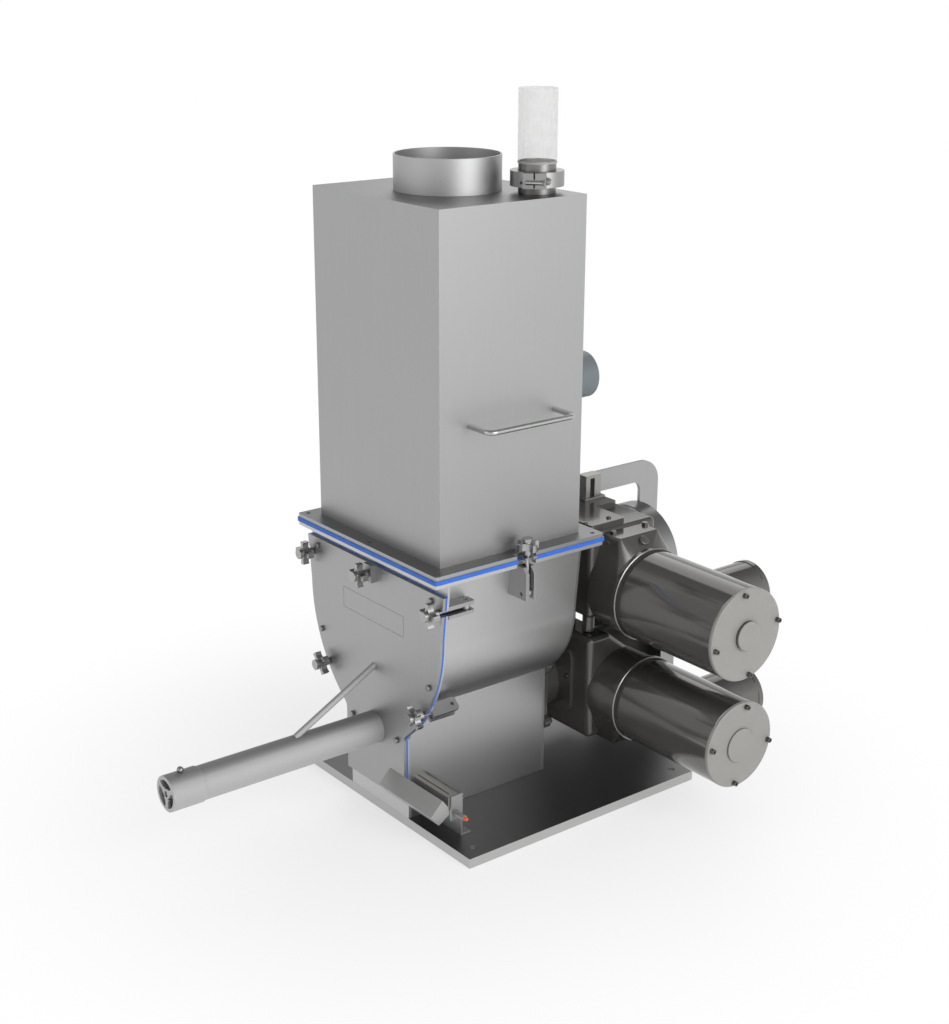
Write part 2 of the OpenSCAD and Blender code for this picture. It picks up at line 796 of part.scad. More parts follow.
// Helical flight around the core, as a twisted sector
module screw_flight() {
    flight_start = -tube_end + hub_len + 4;
    flight_len = core_end_y - 4 - flight_start;
    inner = core_d / 2 + 0.15;
    sector = 360 * flight_t / screw_lead;
    steps_per_turn = 16;
    arc_steps = 2;
    color(steel) translate([0, flight_start + flight_len, screw_z]) rotate([90, 0, 0])
        linear_extrude(flight_len, twist = -360 * flight_len / screw_lead,
            slices = ceil(steps_per_turn * flight_len / screw_lead), $fn = 6)
        polygon(concat(
            [for (i = [0 : arc_steps]) let (a = sector * i / arc_steps) inner * [cos(a), sin(a)]],
            [for (i = [arc_steps : -1 : 0]) let (a = sector * i / arc_steps) screw_d / 2 * [cos(a), sin(a)]]
        ));
}

// Agitator: shaft with three pairs of arms and two long bars
module agitator() {
    arm_w = 16;
    arm_t = 8;
    bar_w = 20;
    bar_t = 8;
    bar_half = trough_half - 22;
    color(bright_steel) translate([0, 0, agitator_z]) {
        rod_y(agitator_d / 2, -trough_half + 6, drive_end_y);
        for (turn = [0, 180]) rotate([0, turn, 0]) {
            for (y = [-bar_half + arm_w / 2, 0, bar_half - arm_w / 2])
                translate([-arm_t / 2, y - arm_w / 2, 0]) cube([arm_t, arm_w, agitator_r - bar_t / 2]);
            translate([-bar_w / 2, -bar_half, agitator_r - bar_t]) cube([bar_w, 2 * bar_half, bar_t - 2]);
        }
    }
}

// Door clamp brackets: two square-ended cheeks on a small back web, with sunk pin ends
cheek_t = 7;
cheek_out = 14;
cheek_in = 13;
cheek_end = 12;
cheek_clip = 4;
pin_sunk = 1.5;

module door_bracket() {
    reach = front_back - door_pivot_y;
    length = -reach;
    web_t = 5;
    outer = slot_w / 2 + cheek_t;
    difference() {
        union() {
            for (side = [-1, 1]) translate([0, side * (slot_w / 2 + cheek_t / 2), 0]) rotate([90, 0, 0])
                linear_extrude(cheek_t, center = true) {
                    polygon([[-cheek_in, length], [-cheek_in, -cheek_end + cheek_clip],
                        [-cheek_in + cheek_clip, -cheek_end], [cheek_out - cheek_clip, -cheek_end],
                        [cheek_out, -cheek_end + cheek_clip], [cheek_out, length]]);
                }
            translate([-cheek_in, -outer, length - web_t]) cube([cheek_in + cheek_out, 2 * outer, web_t]);
        }
        translate([0, 0, length - web_t - 1]) cylinder(d = slot_w, h = web_t + 2);
        translate([0, -slot_w / 2, length - web_t - 1]) cube([2 * cheek_out, slot_w, web_t + 2]);
        rotate([90, 0, 0]) cylinder(d = pin_d + 2 * run_gap, h = 4 * outer, center = true);
    }
}

module clamp_brackets() {
    color(steel) for (i = [0 : 3]) at_door_clamp(i) door_bracket();
}

// Flange clamp brackets: two deeper cheeks against the trough wall
lid_cheek_t = 8;
lid_cheek_r = 14;
lid_cheek_end = 11;

module lid_bracket() {
    top = flange_under - lid_pivot_z;
    outer = slot_w / 2 + lid_cheek_t;
    inner = lid_clamp_x - bowl_outer - 1.5;
    web_t = 20.5;
    difference() {
        union() {
            for (side = [-1, 1]) translate([0, side * (slot_w / 2 + lid_cheek_t / 2), 0]) rotate([90, 0, 0])
                linear_extrude(lid_cheek_t, center = true) {
                    polygon([[-inner, top], [-inner, -lid_cheek_end], [lid_cheek_r, -lid_cheek_end],
                        [lid_cheek_r, top - 12], [4, top]]);
                }
            translate([-inner, -outer, 8]) cube([web_t, 2 * outer, top - 8]);
        }
        rotate([90, 0, 0]) cylinder(d = pin_d + 2 * run_gap, h = 4 * outer, center = true);
    }
}

module lid_brackets() {
    color(steel) difference() {
        for (i = [0, 1]) at_lid_clamp(i) lid_bracket();
        trough_bar(trough_wall + fit_gap, -trough_half, trough_half, flange_under);
    }
}

// Pivot pins of all six swing bolts
module pivot_pins() {
    color(bright_steel) {
        for (i = [0 : 3]) at_door_clamp(i)
            rotate([90, 0, 0]) cylinder(d = pin_d, h = slot_w + 2 * (cheek_t - pin_sunk), center = true);
        for (i = [0, 1]) at_lid_clamp(i)
            rotate([90, 0, 0]) cylinder(d = pin_d, h = slot_w + 2 * (lid_cheek_t - pin_sunk), center = true);
    }
}

module door_bolt(i) {
    color(bright_steel) at_door_clamp(i) swing_bolt(door_seat + seat_gap);
}

module door_knob(i) {
    color(steel) at_door_clamp(i) translate([0, 0, door_seat + seat_gap]) star_knob();
}

module lid_bolt(i) {
    color(bright_steel) at_lid_clamp(i) swing_bolt(lid_seat + seat_gap);
}

module lid_knob(i) {
    color(steel) at_lid_clamp(i) translate([0, 0, lid_seat + seat_gap]) star_knob();
}

// Knob on its own stud in the block at the top of the door
module top_knob() {
    stud_y = door_face - knob_block[1];
    color(steel) translate([0, stud_y - seat_gap, knob_block_z]) rotate([90, 0, 0]) star_knob();
}

// Right-angle gearbox: rounded housing, mounting flange towards the trough, flared motor end and rear boss
gear_front = 245;
gear_back = 425;
gear_left = -95;
gear_right = 155;
gear_round = 12;
motor_end = 205;
motor_end_half = 55;
motor_end_round = 7;
ring_gap = 12;
ring_proud = 3;
gear_neck_r = 72;
gear_boss_r = 60;
gear_lug_r = 13;
gear_lug_x = 92;
gear_lug_z = 62;
gear_flange_t = 14;
gear_flange_y = rear_back + seat_gap;
gear_seal_r = 44;
gear_screw_r = 5;
gear_screw_in = 4.5;
gear_foot_h = 40;
drive_gap = 2;
upper_gear_low = upper_motor_z - 62;

// Places of the four lugs round a gearbox's output shaft
module at_gear_lugs(shaft_z) {
    for (x = [-1, 1], z = [-1, 1]) translate([x * gear_lug_x, 0, shaft_z + z * gear_lug_z]) children();
}

// Cast block with rounded edges: corner centres in Y and Z, drawn out along X
module cast_block(x0, x1, corners, r) {
    hull() for (x = [x0 + r, x1 - r], corner = corners) translate([x, corner[0], corner[1]]) sphere(r = r, $fn = 24);
}

// Motor end of a gearbox: square casting that flares into the ring round the motor
module gear_motor_end(motor_z, motor_r, low, high) {
    r = motor_end_round;
    side = motor_end_half - r;
    ring_x = motor_face - ring_gap;
    hull() {
        for (x = [gear_right - 15, motor_end - r], y = [motor_y - side, motor_y + side], z = [low + r, high - r])
            translate([x, y, z]) sphere(r = r, $fn = 24);
        translate([0, motor_y, motor_z]) rod_x(motor_r - 1, gear_right, ring_x - 8);
    }
    translate([0, motor_y, motor_z]) {
        rod_x(motor_r + ring_proud, ring_x - 10, ring_x);
        rod_x(motor_r - 5, ring_x - 1, motor_face);
    }
}

module gearbox_common(shaft_z, shaft_r) {
    difference() {
        union() {
            translate([0, 0, shaft_z]) {
                rod_y(gear_neck_r - 10, rear_back + 8, gear_front + gear_round);
                rod_y(gear_boss_r, gear_back - gear_round, guard_rear - guard_wall);
                rod_y(gear_neck_r, gear_flange_y + gear_flange_t - 1, gear_front + gear_round);
            }
            at_gear_lugs(shaft_z) rod_y(gear_lug_r, gear_flange_y, gear_flange_y + gear_flange_t);
            translate([-gear_lug_x, gear_flange_y, shaft_z - gear_lug_z])
                cube([2 * gear_lug_x, gear_flange_t, 2 * gear_lug_z]);
            children();
        }
        translate([0, 0, shaft_z]) {
            rod_y(gear_seal_r, rear_back - 1, rear_back + 12);
            rod_y(shaft_r + run_gap, rear_back, guard_rear);
        }
        at_gear_lugs(shaft_z) rod_y(gear_screw_r + fit_gap, rear_back, gear_flange_y + gear_flange_t + 1);
    }
}

module upper_gearbox() {
    r = gear_round;
    top = upper_motor_z + 126;
    bottom = upper_gear_low;
    cover_t = 12;
    color(dark_steel) gearbox_common(agitator_z, agitator_d / 2) {
        cast_block(gear_left, gear_right, [[gear_front + r, bottom + r], [gear_back - r, bottom + r],
            [gear_front + r, top - r], [gear_back - r, top - r]], r);
        gear_motor_end(upper_motor_z, upper_motor_r, bottom, top - 6);
        hull() for (x = [-52, gear_right - 16], y = [gear_front + 15, gear_front + 92])
            translate([x, y, top - 1]) cylinder(r = 8, h = cover_t + 1, $fn = 32);
        hull() for (x = [-52, 48], y = [gear_front + 60, gear_back - 28])
            translate([x, y, top - 1]) cylinder(r = 8, h = cover_t + 1, $fn = 32);
        for (x = [60, 120], y = [275, 385])
            translate([x, y, bottom - gear_foot_h]) cylinder(r = gear_lug_r, h = gear_foot_h + r);
    }
}

module lower_gearbox() {
    r = gear_round;
    top = upper_gear_low - gear_foot_h - drive_gap;
    bottom = lower_motor_z - 98;
    plate_r = 22;
    shoulder = top - 103;
    color(dark_steel) gearbox_common(screw_z, screw_drive_d / 2) {
        cast_block(gear_left, gear_right + 5, [[gear_front + r, bottom + r], [gear_back - r, bottom + r],
            [gear_front + r, top - r], [gear_front + 52, top - r], [gear_back - r, shoulder]], r);
        gear_motor_end(lower_motor_z, lower_motor_r, bottom - 4, lower_motor_z + 66);
        hull() for (x = [plate_r - 92, 108 - plate_r], z = [screw_z - 58 + plate_r, screw_z + 90 - plate_r])
            translate([x, gear_front + 1, z]) rotate([90, 0, 0]) cylinder(r = plate_r, h = 7);
    }
}

// Screws of the drives: one in each lug of the gearboxes
screw_head_t = 7;

module drive_screws() {
    color(bright_steel) {
        for (shaft_z = [agitator_z, screw_z]) at_gear_lugs(shaft_z) {
            rod_y(gear_screw_r, rear_back - gear_screw_in, gear_flange_y + gear_flange_t + 1);
            rod_y(2 * gear_screw_r, gear_flange_y + gear_flange_t, gear_flange_y + gear_flange_t + 2);
            translate([0, gear_flange_y + gear_flange_t + 1 + screw_head_t, 0]) rotate([90, 0, 0])
                cylinder(r = 1.75 * gear_screw_r, h = screw_head_t, $fn = 6);
        }
    }
}

// Smooth round motor shell on the gearbox's ring
module motor_shell(z, r) {
    translate([0, motor_y, z]) rod_x(r, motor_face, motor_face + motor_len);
}

module upper_motor() {
    color(dark_steel) motor_shell(upper_motor_z, upper_motor_r);
}

module lower_motor() {
    color(dark_steel) motor_shell(lower_motor_z, lower_motor_r);
}

// Flat end cap with a raised round hub
module motor_cap(z, r) {
    face = motor_face + motor_len;
    color(cap_grey) translate([0, motor_y, z]) {
        rod_x(r, face, face + cap_t);
        rod_x(20, face + cap_t - 1, face + cap_t + 6);
    }
}

module upper_cap() {
    motor_cap(upper_motor_z, upper_motor_r);
}

module lower_cap() {
    motor_cap(lower_motor_z, lower_motor_r);
}

// Four socket screws near the rim of each end cap
module cap_screw_ring(z, r, tilt) {
    face = motor_face + motor_len + cap_t;
    for (a = [0 : 90 : 270]) translate([0, motor_y, z]) rotate([a + tilt, 0, 0])
        translate([0, r - 9, 0]) difference() {
            rod_x(5, face, face + 9);
            rod_x(2.6, face + 5, face + 10);
        }
}

module cap_screws() {
    color(bright_steel) {
        cap_screw_ring(upper_motor_z, upper_motor_r, 8);
        cap_screw_ring(lower_motor_z, lower_motor_r, -8);
    }
}

// Round terminal box behind each motor, with its lid edge
module terminal_box(z, r) {
    lid_t = 12;
    difference() {
        translate([terminal_x, 0, z]) {
            rod_y(terminal_r - 1.5, motor_y, terminal_rear - lid_t);
            rod_y(terminal_r, terminal_rear - lid_t, terminal_rear);
        }
        motor_shell(z, r + fit_gap);
        translate([terminal_x - 2 * terminal_r, motor_y - 1, z - 2 * terminal_r])
            cube([4 * terminal_r, r * 0.7, 4 * terminal_r]);
    }
}

module terminal_boxes() {
    color(dark_steel) {
        terminal_box(upper_motor_z, upper_motor_r);
        terminal_box(lower_motor_z, lower_motor_r);
    }
}

// Rear guard: arched channel with a back sheet, behind both gearboxes
guard_wall = 3;
guard_bottom = 60;
guard_arc_z = agitator_z - 12;

module guard_section(inset) {
    half = guard_half - inset;
    translate([0, guard_arc_z]) circle(r = half, $fn = 96);
    translate([-half, guard_bottom + inset]) square([2 * half, guard_arc_z - guard_bottom - inset]);
}

module rear_guard() {
    color(steel) {
        along_y(guard_rear - guard_wall, guard_rear) guard_section(0);
        along_y(guard_rear - guard_depth, guard_rear - guard_wall + 0.5) difference() {
            guard_section(0);
            guard_section(guard_wall);
        }
    }
}

// Lifting arch: flat plate that rises over the upper gearbox and runs down the guard's back
arch_x = -16;
arch_t = 8;
arch_top = 607;
arch_w = 46;
arch_bend = 52;

module lift_arch() {
    front = 300;
    back = guard_rear + 54;
    leg_low = 390;
    inner_bend = 20;
    color(steel) translate([arch_x + arch_t / 2, 0, 0]) rotate([0, -90, 0]) linear_extrude(arch_t)
        difference() {
            union() {
                translate([leg_low, guard_rear]) square([arch_top - arch_bend - leg_low, back - guard_rear]);
                translate([leg_low, guard_rear - 40]) square([arch_top - arch_bend - leg_low, 40]);
                translate([arch_top - arch_w, front]) square([arch_w, back - arch_bend - front]);
                translate([arch_top - arch_bend, back - arch_bend]) circle(r = arch_bend);
                translate([leg_low, guard_rear]) square([arch_top - leg_low, back - arch_bend - guard_rear]);
            }
            translate([leg_low - 1, front - 1])
                square([arch_top - arch_w - inner_bend - leg_low + 1, guard_rear + seat_gap - front + 1]);
            translate([leg_low - 1, front - 1])
                square([arch_top - arch_w - leg_low + 1, guard_rear - inner_bend - front + 1]);
            translate([arch_top - arch_w - inner_bend, guard_rear - inner_bend]) circle(r = inner_bend);
        }
}

// Slotted bracket that carries the front of the arch on the upper gearbox cover
module arch_bracket() {
    foot_z = upper_motor_z + 126 + 12;
    x0 = arch_x + arch_t / 2;
    color(bright_steel) {
        difference() {
            translate([x0, 354, foot_z + 5]) cube([26, 42, arch_top - foot_z]);
            translate([x0 + 8, 366, foot_z + 4]) cube([20, 12, arch_top - foot_z - 6]);
        }
        translate([x0, 346, foot_z]) cube([34, 56, 5.5]);
    }
}

// Safety switch under the door: sloped hood on the door, switch bar and bracket on the base, lit sensor
hood_x0 = 51;
hood_x1 = 226;
hood_y = door_face;
bar_y0 = -160;
bar_y1 = -132;
bar_z0 = 88;
bar_z1 = 110;
sensor_y = -146;
sensor_z = 76;
sensor_r = 6;
switch_x = pedestal_w / 2;
bracket_len = 116;
upright_x = switch_x + bracket_len - 4;
sensor_end = upright_x + 34;

hood_top = 117;
hood_nose = 89;
hood_sheet = 3;

// Hood outline in Y and Z: sloped top, return under the nose and the part that reaches behind the door
module hood_outline() {
    polygon([[hood_y, hood_top], [hood_y - 28, hood_nose], [hood_y - 9, hood_nose - 22], [hood_y, hood_nose - 17],
        [hood_y + 15, hood_nose - 7], [hood_y + 15, hood_nose + 8]]);
}

// Space inside the bent sheet, open at the back
module hood_space() {
    polygon([[hood_y, hood_top - 5], [hood_y - 23.9, hood_nose], [hood_y - 6.5, hood_nose - 19],
        [hood_y + 1, hood_nose - 15], [hood_y + 16, hood_nose - 4], [hood_y + 16, hood_nose + 3]]);
}

module interlock_hood() {
    color(bright_steel) difference() {
        translate([hood_x0, 0, 0]) rotate([90, 0, 90]) linear_extrude(hood_x1 - hood_x0) hood_outline();
        translate([hood_x0 + hood_sheet, 0, 0]) rotate([90, 0, 90])
            linear_extrude(hood_x1 - hood_x0 - 2 * hood_sheet) hood_space();
        translate([hood_x0 - 1, hood_y, 0]) cube([leg_half + seat_gap + 1 - hood_x0, 60, 200]);
    }
}

module interlock_switch() {
    color(dark_steel) difference() {
        union() {
            translate([switch_x, bar_y0, bar_z0]) cube([upright_x - switch_x, bar_y1 - bar_y0, bar_z1 - bar_z0]);
            translate([0, sensor_y, sensor_z]) {
                rod_x(sensor_r, upright_x - 16, sensor_end);
                rod_x(sensor_r + 3.5, upright_x - 6, upright_x - 0.5, $fn = 6);
            }
        }
        translate([switch_x - 1, bar_y0 + 9, bar_z1 - 4]) cube([100, 3, 5]);
    }
}

module interlock_bracket() {
    plate_t = 4;
    color(steel) {
        difference() {
            union() {
                translate([switch_x, bar_y1, base_t]) cube([bracket_len, plate_t, 92]);
                translate([upright_x, bar_y0 + 4, 60]) cube([plate_t, bar_y1 - bar_y0, 52]);
            }
            translate([0, sensor_y, sensor_z]) rod_x(sensor_r + fit_gap, upright_x - 22, upright_x + 28);
        }
        translate([switch_x, bar_y1, base_t]) cube([bracket_len, 24, plate_t]);
    }
}

module sensor_tip() {
    color("orangered") translate([sensor_end, sensor_y, sensor_z]) rotate([0, 90, 0]) cylinder(r1 = 4.5, r2 = 3.5, h = 7);
}

base_plate();
pedestal();
front_plate();
trough();
rear_plate();
shaft_seals();
flange_gasket();
hopper();
inlet_spigot();
side_handles();
vent_stub();
vent_collar();
vent_clamp_halves();
vent_clamp_bolts();
vent_clamp_nuts();
filter_sleeve();
level_mount();
level_head();
level_paddle();
door_plate();
door_seal();
door_screws();
feed_tube();
outlet_sleeve();
outlet_pin();
screw_shaft();
screw_flight();
agitator();
clamp_brackets();
lid_brackets();
pivot_pins();
door_bolt(0);  // door_bolt_1
door_bolt(1);  // door_bolt_2
door_bolt(2);  // door_bolt_3
door_bolt(3);  // door_bolt_4
door_knob(0);  // door_knob_1
door_knob(1);  // door_knob_2
door_knob(2);  // door_knob_3
door_knob(3);  // door_knob_4
top_knob();
lid_bolt(0);  // lid_bolt_1
lid_bolt(1);  // lid_bolt_2
lid_knob(0);  // lid_knob_1
lid_knob(1);  // lid_knob_2
upper_gearbox();
lower_gearbox();
drive_screws();
upper_motor();
lower_motor();
upper_cap();
lower_cap();
cap_screws();
terminal_boxes();
rear_guard();
lift_arch();
arch_bracket();
interlock_hood();
interlock_switch();
interlock_bracket();
sensor_tip();
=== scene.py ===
# Screw feeder: brushed steel, glossy drives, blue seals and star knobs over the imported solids.
# Lengths are in metres, in the frame of the solids: Z up, the discharge tube along -Y, the motors along +X.
import json
import math

import bmesh
import bpy
from mathutils import Matrix, Vector

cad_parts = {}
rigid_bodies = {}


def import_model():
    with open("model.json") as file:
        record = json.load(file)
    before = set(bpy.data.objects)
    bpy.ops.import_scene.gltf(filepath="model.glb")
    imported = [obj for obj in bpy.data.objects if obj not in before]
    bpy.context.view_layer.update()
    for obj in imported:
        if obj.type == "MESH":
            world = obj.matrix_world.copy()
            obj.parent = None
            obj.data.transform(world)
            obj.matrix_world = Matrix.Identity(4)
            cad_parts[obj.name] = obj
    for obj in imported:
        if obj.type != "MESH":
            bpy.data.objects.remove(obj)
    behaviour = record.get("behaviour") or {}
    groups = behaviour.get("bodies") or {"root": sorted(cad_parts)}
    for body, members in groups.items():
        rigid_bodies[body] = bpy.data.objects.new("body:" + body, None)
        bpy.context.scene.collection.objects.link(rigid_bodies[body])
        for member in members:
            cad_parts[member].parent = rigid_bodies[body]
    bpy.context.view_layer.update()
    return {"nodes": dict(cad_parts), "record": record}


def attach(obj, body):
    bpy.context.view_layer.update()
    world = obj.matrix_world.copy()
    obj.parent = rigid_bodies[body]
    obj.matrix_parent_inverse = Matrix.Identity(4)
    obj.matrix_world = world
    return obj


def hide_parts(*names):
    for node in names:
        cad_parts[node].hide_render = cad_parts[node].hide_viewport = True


scene = bpy.context.scene
for leftover in list(bpy.data.objects):
    bpy.data.objects.remove(leftover)

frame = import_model()
nodes = frame["nodes"]
slotOf = {part["node"]: part["material_slot"] for part in frame["record"]["subparts"]}
bodyOf = {}
for bodyName, members in frame["record"]["behaviour"]["bodies"].items():
    for member in members:
        bodyOf[member] = bodyName
print("frame loaded:", len(nodes), "nodes")

scene.view_settings.view_transform = "Standard"


# Node tree helpers

def addNode(tree, kind, place, **settings):
    made = tree.nodes.new(kind)
    made.location = place
    for key, value in settings.items():
        setattr(made, key, value)
    return made


def setInputs(made, values):
    for key, value in values.items():
        made.inputs[key].default_value = value
    return made


def addNoise(tree, place, values):
    return setInputs(addNode(tree, "ShaderNodeTexNoise", place), values)


def addRange(tree, place, values, **settings):
    return setInputs(addNode(tree, "ShaderNodeMapRange", place, **settings), values)


def addMath(tree, place, operation, second=None, **settings):
    made = addNode(tree, "ShaderNodeMath", place, operation=operation, **settings)
    if second is not None:
        made.inputs[1].default_value = second
    return made


def addBlend(tree, place):
    return addNode(tree, "ShaderNodeMix", place, data_type="RGBA")


def wire(tree, pairs):
    for source, target in pairs:
        tree.links.new(source, target)


def shaded(colour, share=1.0):
    return (*[min(1.0, part * share) for part in colour], 1.0)


def newGroup(title, inputs, outputs):
    tree = bpy.data.node_groups.new(title, "ShaderNodeTree")
    for label, kind in inputs:
        tree.interface.new_socket(label, in_out="INPUT", socket_type=kind)
    for label, kind in outputs:
        tree.interface.new_socket(label, in_out="OUTPUT", socket_type=kind)
    start = addNode(tree, "NodeGroupInput", (-900, 0))
    end = addNode(tree, "NodeGroupOutput", (700, 0))
    return tree, start, end


def placeGroup(tree, group, place, values):
    made = addNode(tree, "ShaderNodeGroup", place)
    made.node_tree = group
    return setInputs(made, values)


def newMaterial(title):
    made = bpy.data.materials.new(title)
    made.use_nodes = True
    tree = made.node_tree
    tree.nodes.clear()
    output = addNode(tree, "ShaderNodeOutputMaterial", (900, 0))
    shader = addNode(tree, "ShaderNodeBsdfPrincipled", (560, 0))
    tree.links.new(shader.outputs["BSDF"], output.inputs["Surface"])
    return made, tree, shader


# Shared effects

grainEffect = {
    "fine": {"Scale": 1.0, "Detail": 3.0, "Roughness": 0.65},
    "broad": {"Scale": 0.21, "Detail": 2.0, "Roughness": 0.5},
    "broadShare": 0.45,
    "middle": 0.725,
}


def makeGrainGroup():
    look = grainEffect
    tree, start, end = newGroup(
        "brushedGrain",
        [("Vector", "NodeSocketVector"), ("Contrast", "NodeSocketFloat")],
        [("Height", "NodeSocketFloat"), ("Tone", "NodeSocketFloat")],
    )
    fine = addNoise(tree, (-600, 120), look["fine"])
    broad = addNoise(tree, (-600, -160), look["broad"])
    blend = addMath(tree, (-360, 0), "MULTIPLY_ADD", look["broadShare"])
    spread = addMath(tree, (-160, 0), "SUBTRACT", look["middle"])
    gain = addMath(tree, (40, 0), "MULTIPLY")
    tone = addMath(tree, (240, -120), "ADD", 1.0)
    wire(tree, [
        (start.outputs["Vector"], fine.inputs["Vector"]),
        (start.outputs["Vector"], broad.inputs["Vector"]),
        (broad.outputs["Fac"], blend.inputs[0]),
        (fine.outputs["Fac"], blend.inputs[2]),
        (blend.outputs[0], spread.inputs[0]),
        (spread.outputs[0], gain.inputs[0]),
        (start.outputs["Contrast"], gain.inputs[1]),
        (gain.outputs[0], tone.inputs[0]),
        (blend.outputs[0], end.inputs["Height"]),
        (tone.outputs[0], end.inputs["Tone"]),
    ])
    return tree


edgeWearAndHighlightEffect = {
    "samples": 6,
    "bent": {"From Min": 0.995, "From Max": 0.86},  # how far the rounded and the true normal agree
    "patches": {"Detail": 4.0, "Roughness": 0.7},
    "wornAndLit": {"From Min": 0.38, "From Max": 0.62},
}


# Lighter edges: abrasion on rounded edges broken up by noise patches, together with a painted highlight along
# those edges
def makeEdgeWearAndHighlightGroup():
    look = edgeWearAndHighlightEffect
    tree, start, end = newGroup(
        "edgeWearAndHighlight",
        [("Radius", "NodeSocketFloat"), ("Breakup", "NodeSocketFloat")],
        [("Mask", "NodeSocketFloat")],
    )
    rounded = addNode(tree, "ShaderNodeBevel", (-600, 160), samples=look["samples"])
    flat = addNode(tree, "ShaderNodeNewGeometry", (-600, -40))
    facing = addNode(tree, "ShaderNodeVectorMath", (-380, 100), operation="DOT_PRODUCT")
    edge = addRange(tree, (-160, 100), look["bent"])
    place = addNode(tree, "ShaderNodeTexCoord", (-600, -260))
    patches = addNoise(tree, (-380, -200), look["patches"])
    wornAndLit = addRange(tree, (-160, -200), look["wornAndLit"])
    both = addMath(tree, (100, 0), "MULTIPLY")
    wire(tree, [
        (start.outputs["Radius"], rounded.inputs["Radius"]),
        (rounded.outputs["Normal"], facing.inputs[0]),
        (flat.outputs["Normal"], facing.inputs[1]),
        (facing.outputs["Value"], edge.inputs["Value"]),
        (place.outputs["Object"], patches.inputs["Vector"]),
        (start.outputs["Breakup"], patches.inputs["Scale"]),
        (patches.outputs["Fac"], wornAndLit.inputs["Value"]),
        (edge.outputs["Result"], both.inputs[0]),
        (wornAndLit.outputs["Result"], both.inputs[1]),
        (both.outputs[0], end.inputs["Mask"]),
    ])
    return tree


smudgeEffect = {
    "cloud": {"Detail": 5.0, "Roughness": 0.6, "Distortion": 0.4},
    "mask": {"From Min": 0.3, "From Max": 0.7},
}


def makeSmudgeGroup():
    look = smudgeEffect
    tree, start, end = newGroup(
        "handledSmudges",
        [("Scale", "NodeSocketFloat"), ("Base", "NodeSocketFloat"), ("Spread", "NodeSocketFloat")],
        [("Roughness", "NodeSocketFloat"), ("Mask", "NodeSocketFloat")],
    )
    place = addNode(tree, "ShaderNodeTexCoord", (-700, 0))
    cloud = addNoise(tree, (-460, 0), look["cloud"])
    mask = addRange(tree, (-220, 0), look["mask"])
    level = addMath(tree, (60, 0), "MULTIPLY_ADD")
    wire(tree, [
        (place.outputs["Object"], cloud.inputs["Vector"]),
        (start.outputs["Scale"], cloud.inputs["Scale"]),
        (cloud.outputs["Fac"], mask.inputs["Value"]),
        (mask.outputs["Result"], level.inputs[0]),
        (start.outputs["Spread"], level.inputs[1]),
        (start.outputs["Base"], level.inputs[2]),
        (level.outputs[0], end.inputs["Roughness"]),
        (mask.outputs["Result"], end.inputs["Mask"]),
    ])
    return tree


skinEffect = {
    "grain": {"Detail": 3.0, "Roughness": 0.6},
    "wave": {"Detail": 1.0, "Roughness": 0.4},
    "waveShare": 3.0,
}


def makeSkinGroup():
    look = skinEffect
    tree, start, end = newGroup(
        "castSkin",
        [("Grain", "NodeSocketFloat"), ("Waviness", "NodeSocketFloat")],
        [("Height", "NodeSocketFloat")],
    )
    place = addNode(tree, "ShaderNodeTexCoord", (-700, 0))
    grain = addNoise(tree, (-440, 120), look["grain"])
    wave = addNoise(tree, (-440, -120), look["wave"])
    both = addMath(tree, (-120, 0), "MULTIPLY_ADD", look["waveShare"])
    wire(tree, [
        (place.outputs["Object"], grain.inputs["Vector"]),
        (place.outputs["Object"], wave.inputs["Vector"]),
        (start.outputs["Grain"], grain.inputs["Scale"]),
        (start.outputs["Waviness"], wave.inputs["Scale"]),
        (wave.outputs["Fac"], both.inputs[0]),
        (grain.outputs["Fac"], both.inputs[2]),
        (both.outputs[0], end.inputs["Height"]),
    ])
    return tree


paintedTopShadeEffect = {"faces": {"From Min": 0.72, "From Max": 0.97}}  # upward share where the painted shade starts and is full


# Painted shade: darkens upward faces, in place of the darker reflection from above
def makePaintedTopShadeGroup():
    tree, start, end = newGroup(
        "paintedShadeOnTops",
        [("Color", "NodeSocketColor"), ("Darken", "NodeSocketFloat")],
        [("Color", "NodeSocketColor")],
    )
    surface = addNode(tree, "ShaderNodeTexCoord", (-700, 0))
    split = addNode(tree, "ShaderNodeSeparateXYZ", (-500, 0))
    mask = addRange(tree, (-300, 0), paintedTopShadeEffect["faces"])
    amount = addMath(tree, (-100, 0), "MULTIPLY")
    shade = addBlend(tree, (300, 0))
    shade.inputs["B"].default_value = (0.0, 0.0, 0.0, 1.0)
    wire(tree, [
        (surface.outputs["Normal"], split.inputs["Vector"]),
        (split.outputs["Z"], mask.inputs["Value"]),
        (mask.outputs["Result"], amount.inputs[0]),
        (start.outputs["Darken"], amount.inputs[1]),
        (amount.outputs[0], shade.inputs["Factor"]),
        (start.outputs["Color"], shade.inputs["A"]),
        (shade.outputs["Result"], end.inputs["Color"]),
    ])
    return tree


grainGroup = makeGrainGroup()
edgeWearAndHighlightGroup = makeEdgeWearAndHighlightGroup()
smudgeGroup = makeSmudgeGroup()
skinGroup = makeSkinGroup()
paintedTopShadeGroup = makePaintedTopShadeGroup()
print("shared effects built")


# Finishes

def placeSmudges(tree, look, place):
    return placeGroup(tree, smudgeGroup, place,
                      {"Scale": look["smudgeScale"], "Base": look["roughness"], "Spread": look["spread"]})


def placeBump(tree, look, place):
    made = addNode(tree, "ShaderNodeBump", place)
    return setInputs(made, {"Strength": look["bump"], "Distance": look["depth"]})


def dressShader(tree, shader, look, edged, smudge, relief):
    bump = placeBump(tree, look, (260, -260))
    # painted shade on upward faces, laid over the base colour
    level = placeGroup(tree, paintedTopShadeGroup, (300, 160), {"Darken": look["paintedTopShadeAmount"]})
    wire(tree, [
        (edged.outputs["Result"], level.inputs["Color"]),
        (level.outputs["Color"], shader.inputs["Base Color"]),
        (smudge.outputs["Roughness"], shader.inputs["Roughness"]),
        (relief, bump.inputs["Height"]),
        (bump.outputs["Normal"], shader.inputs["Normal"]),
    ])


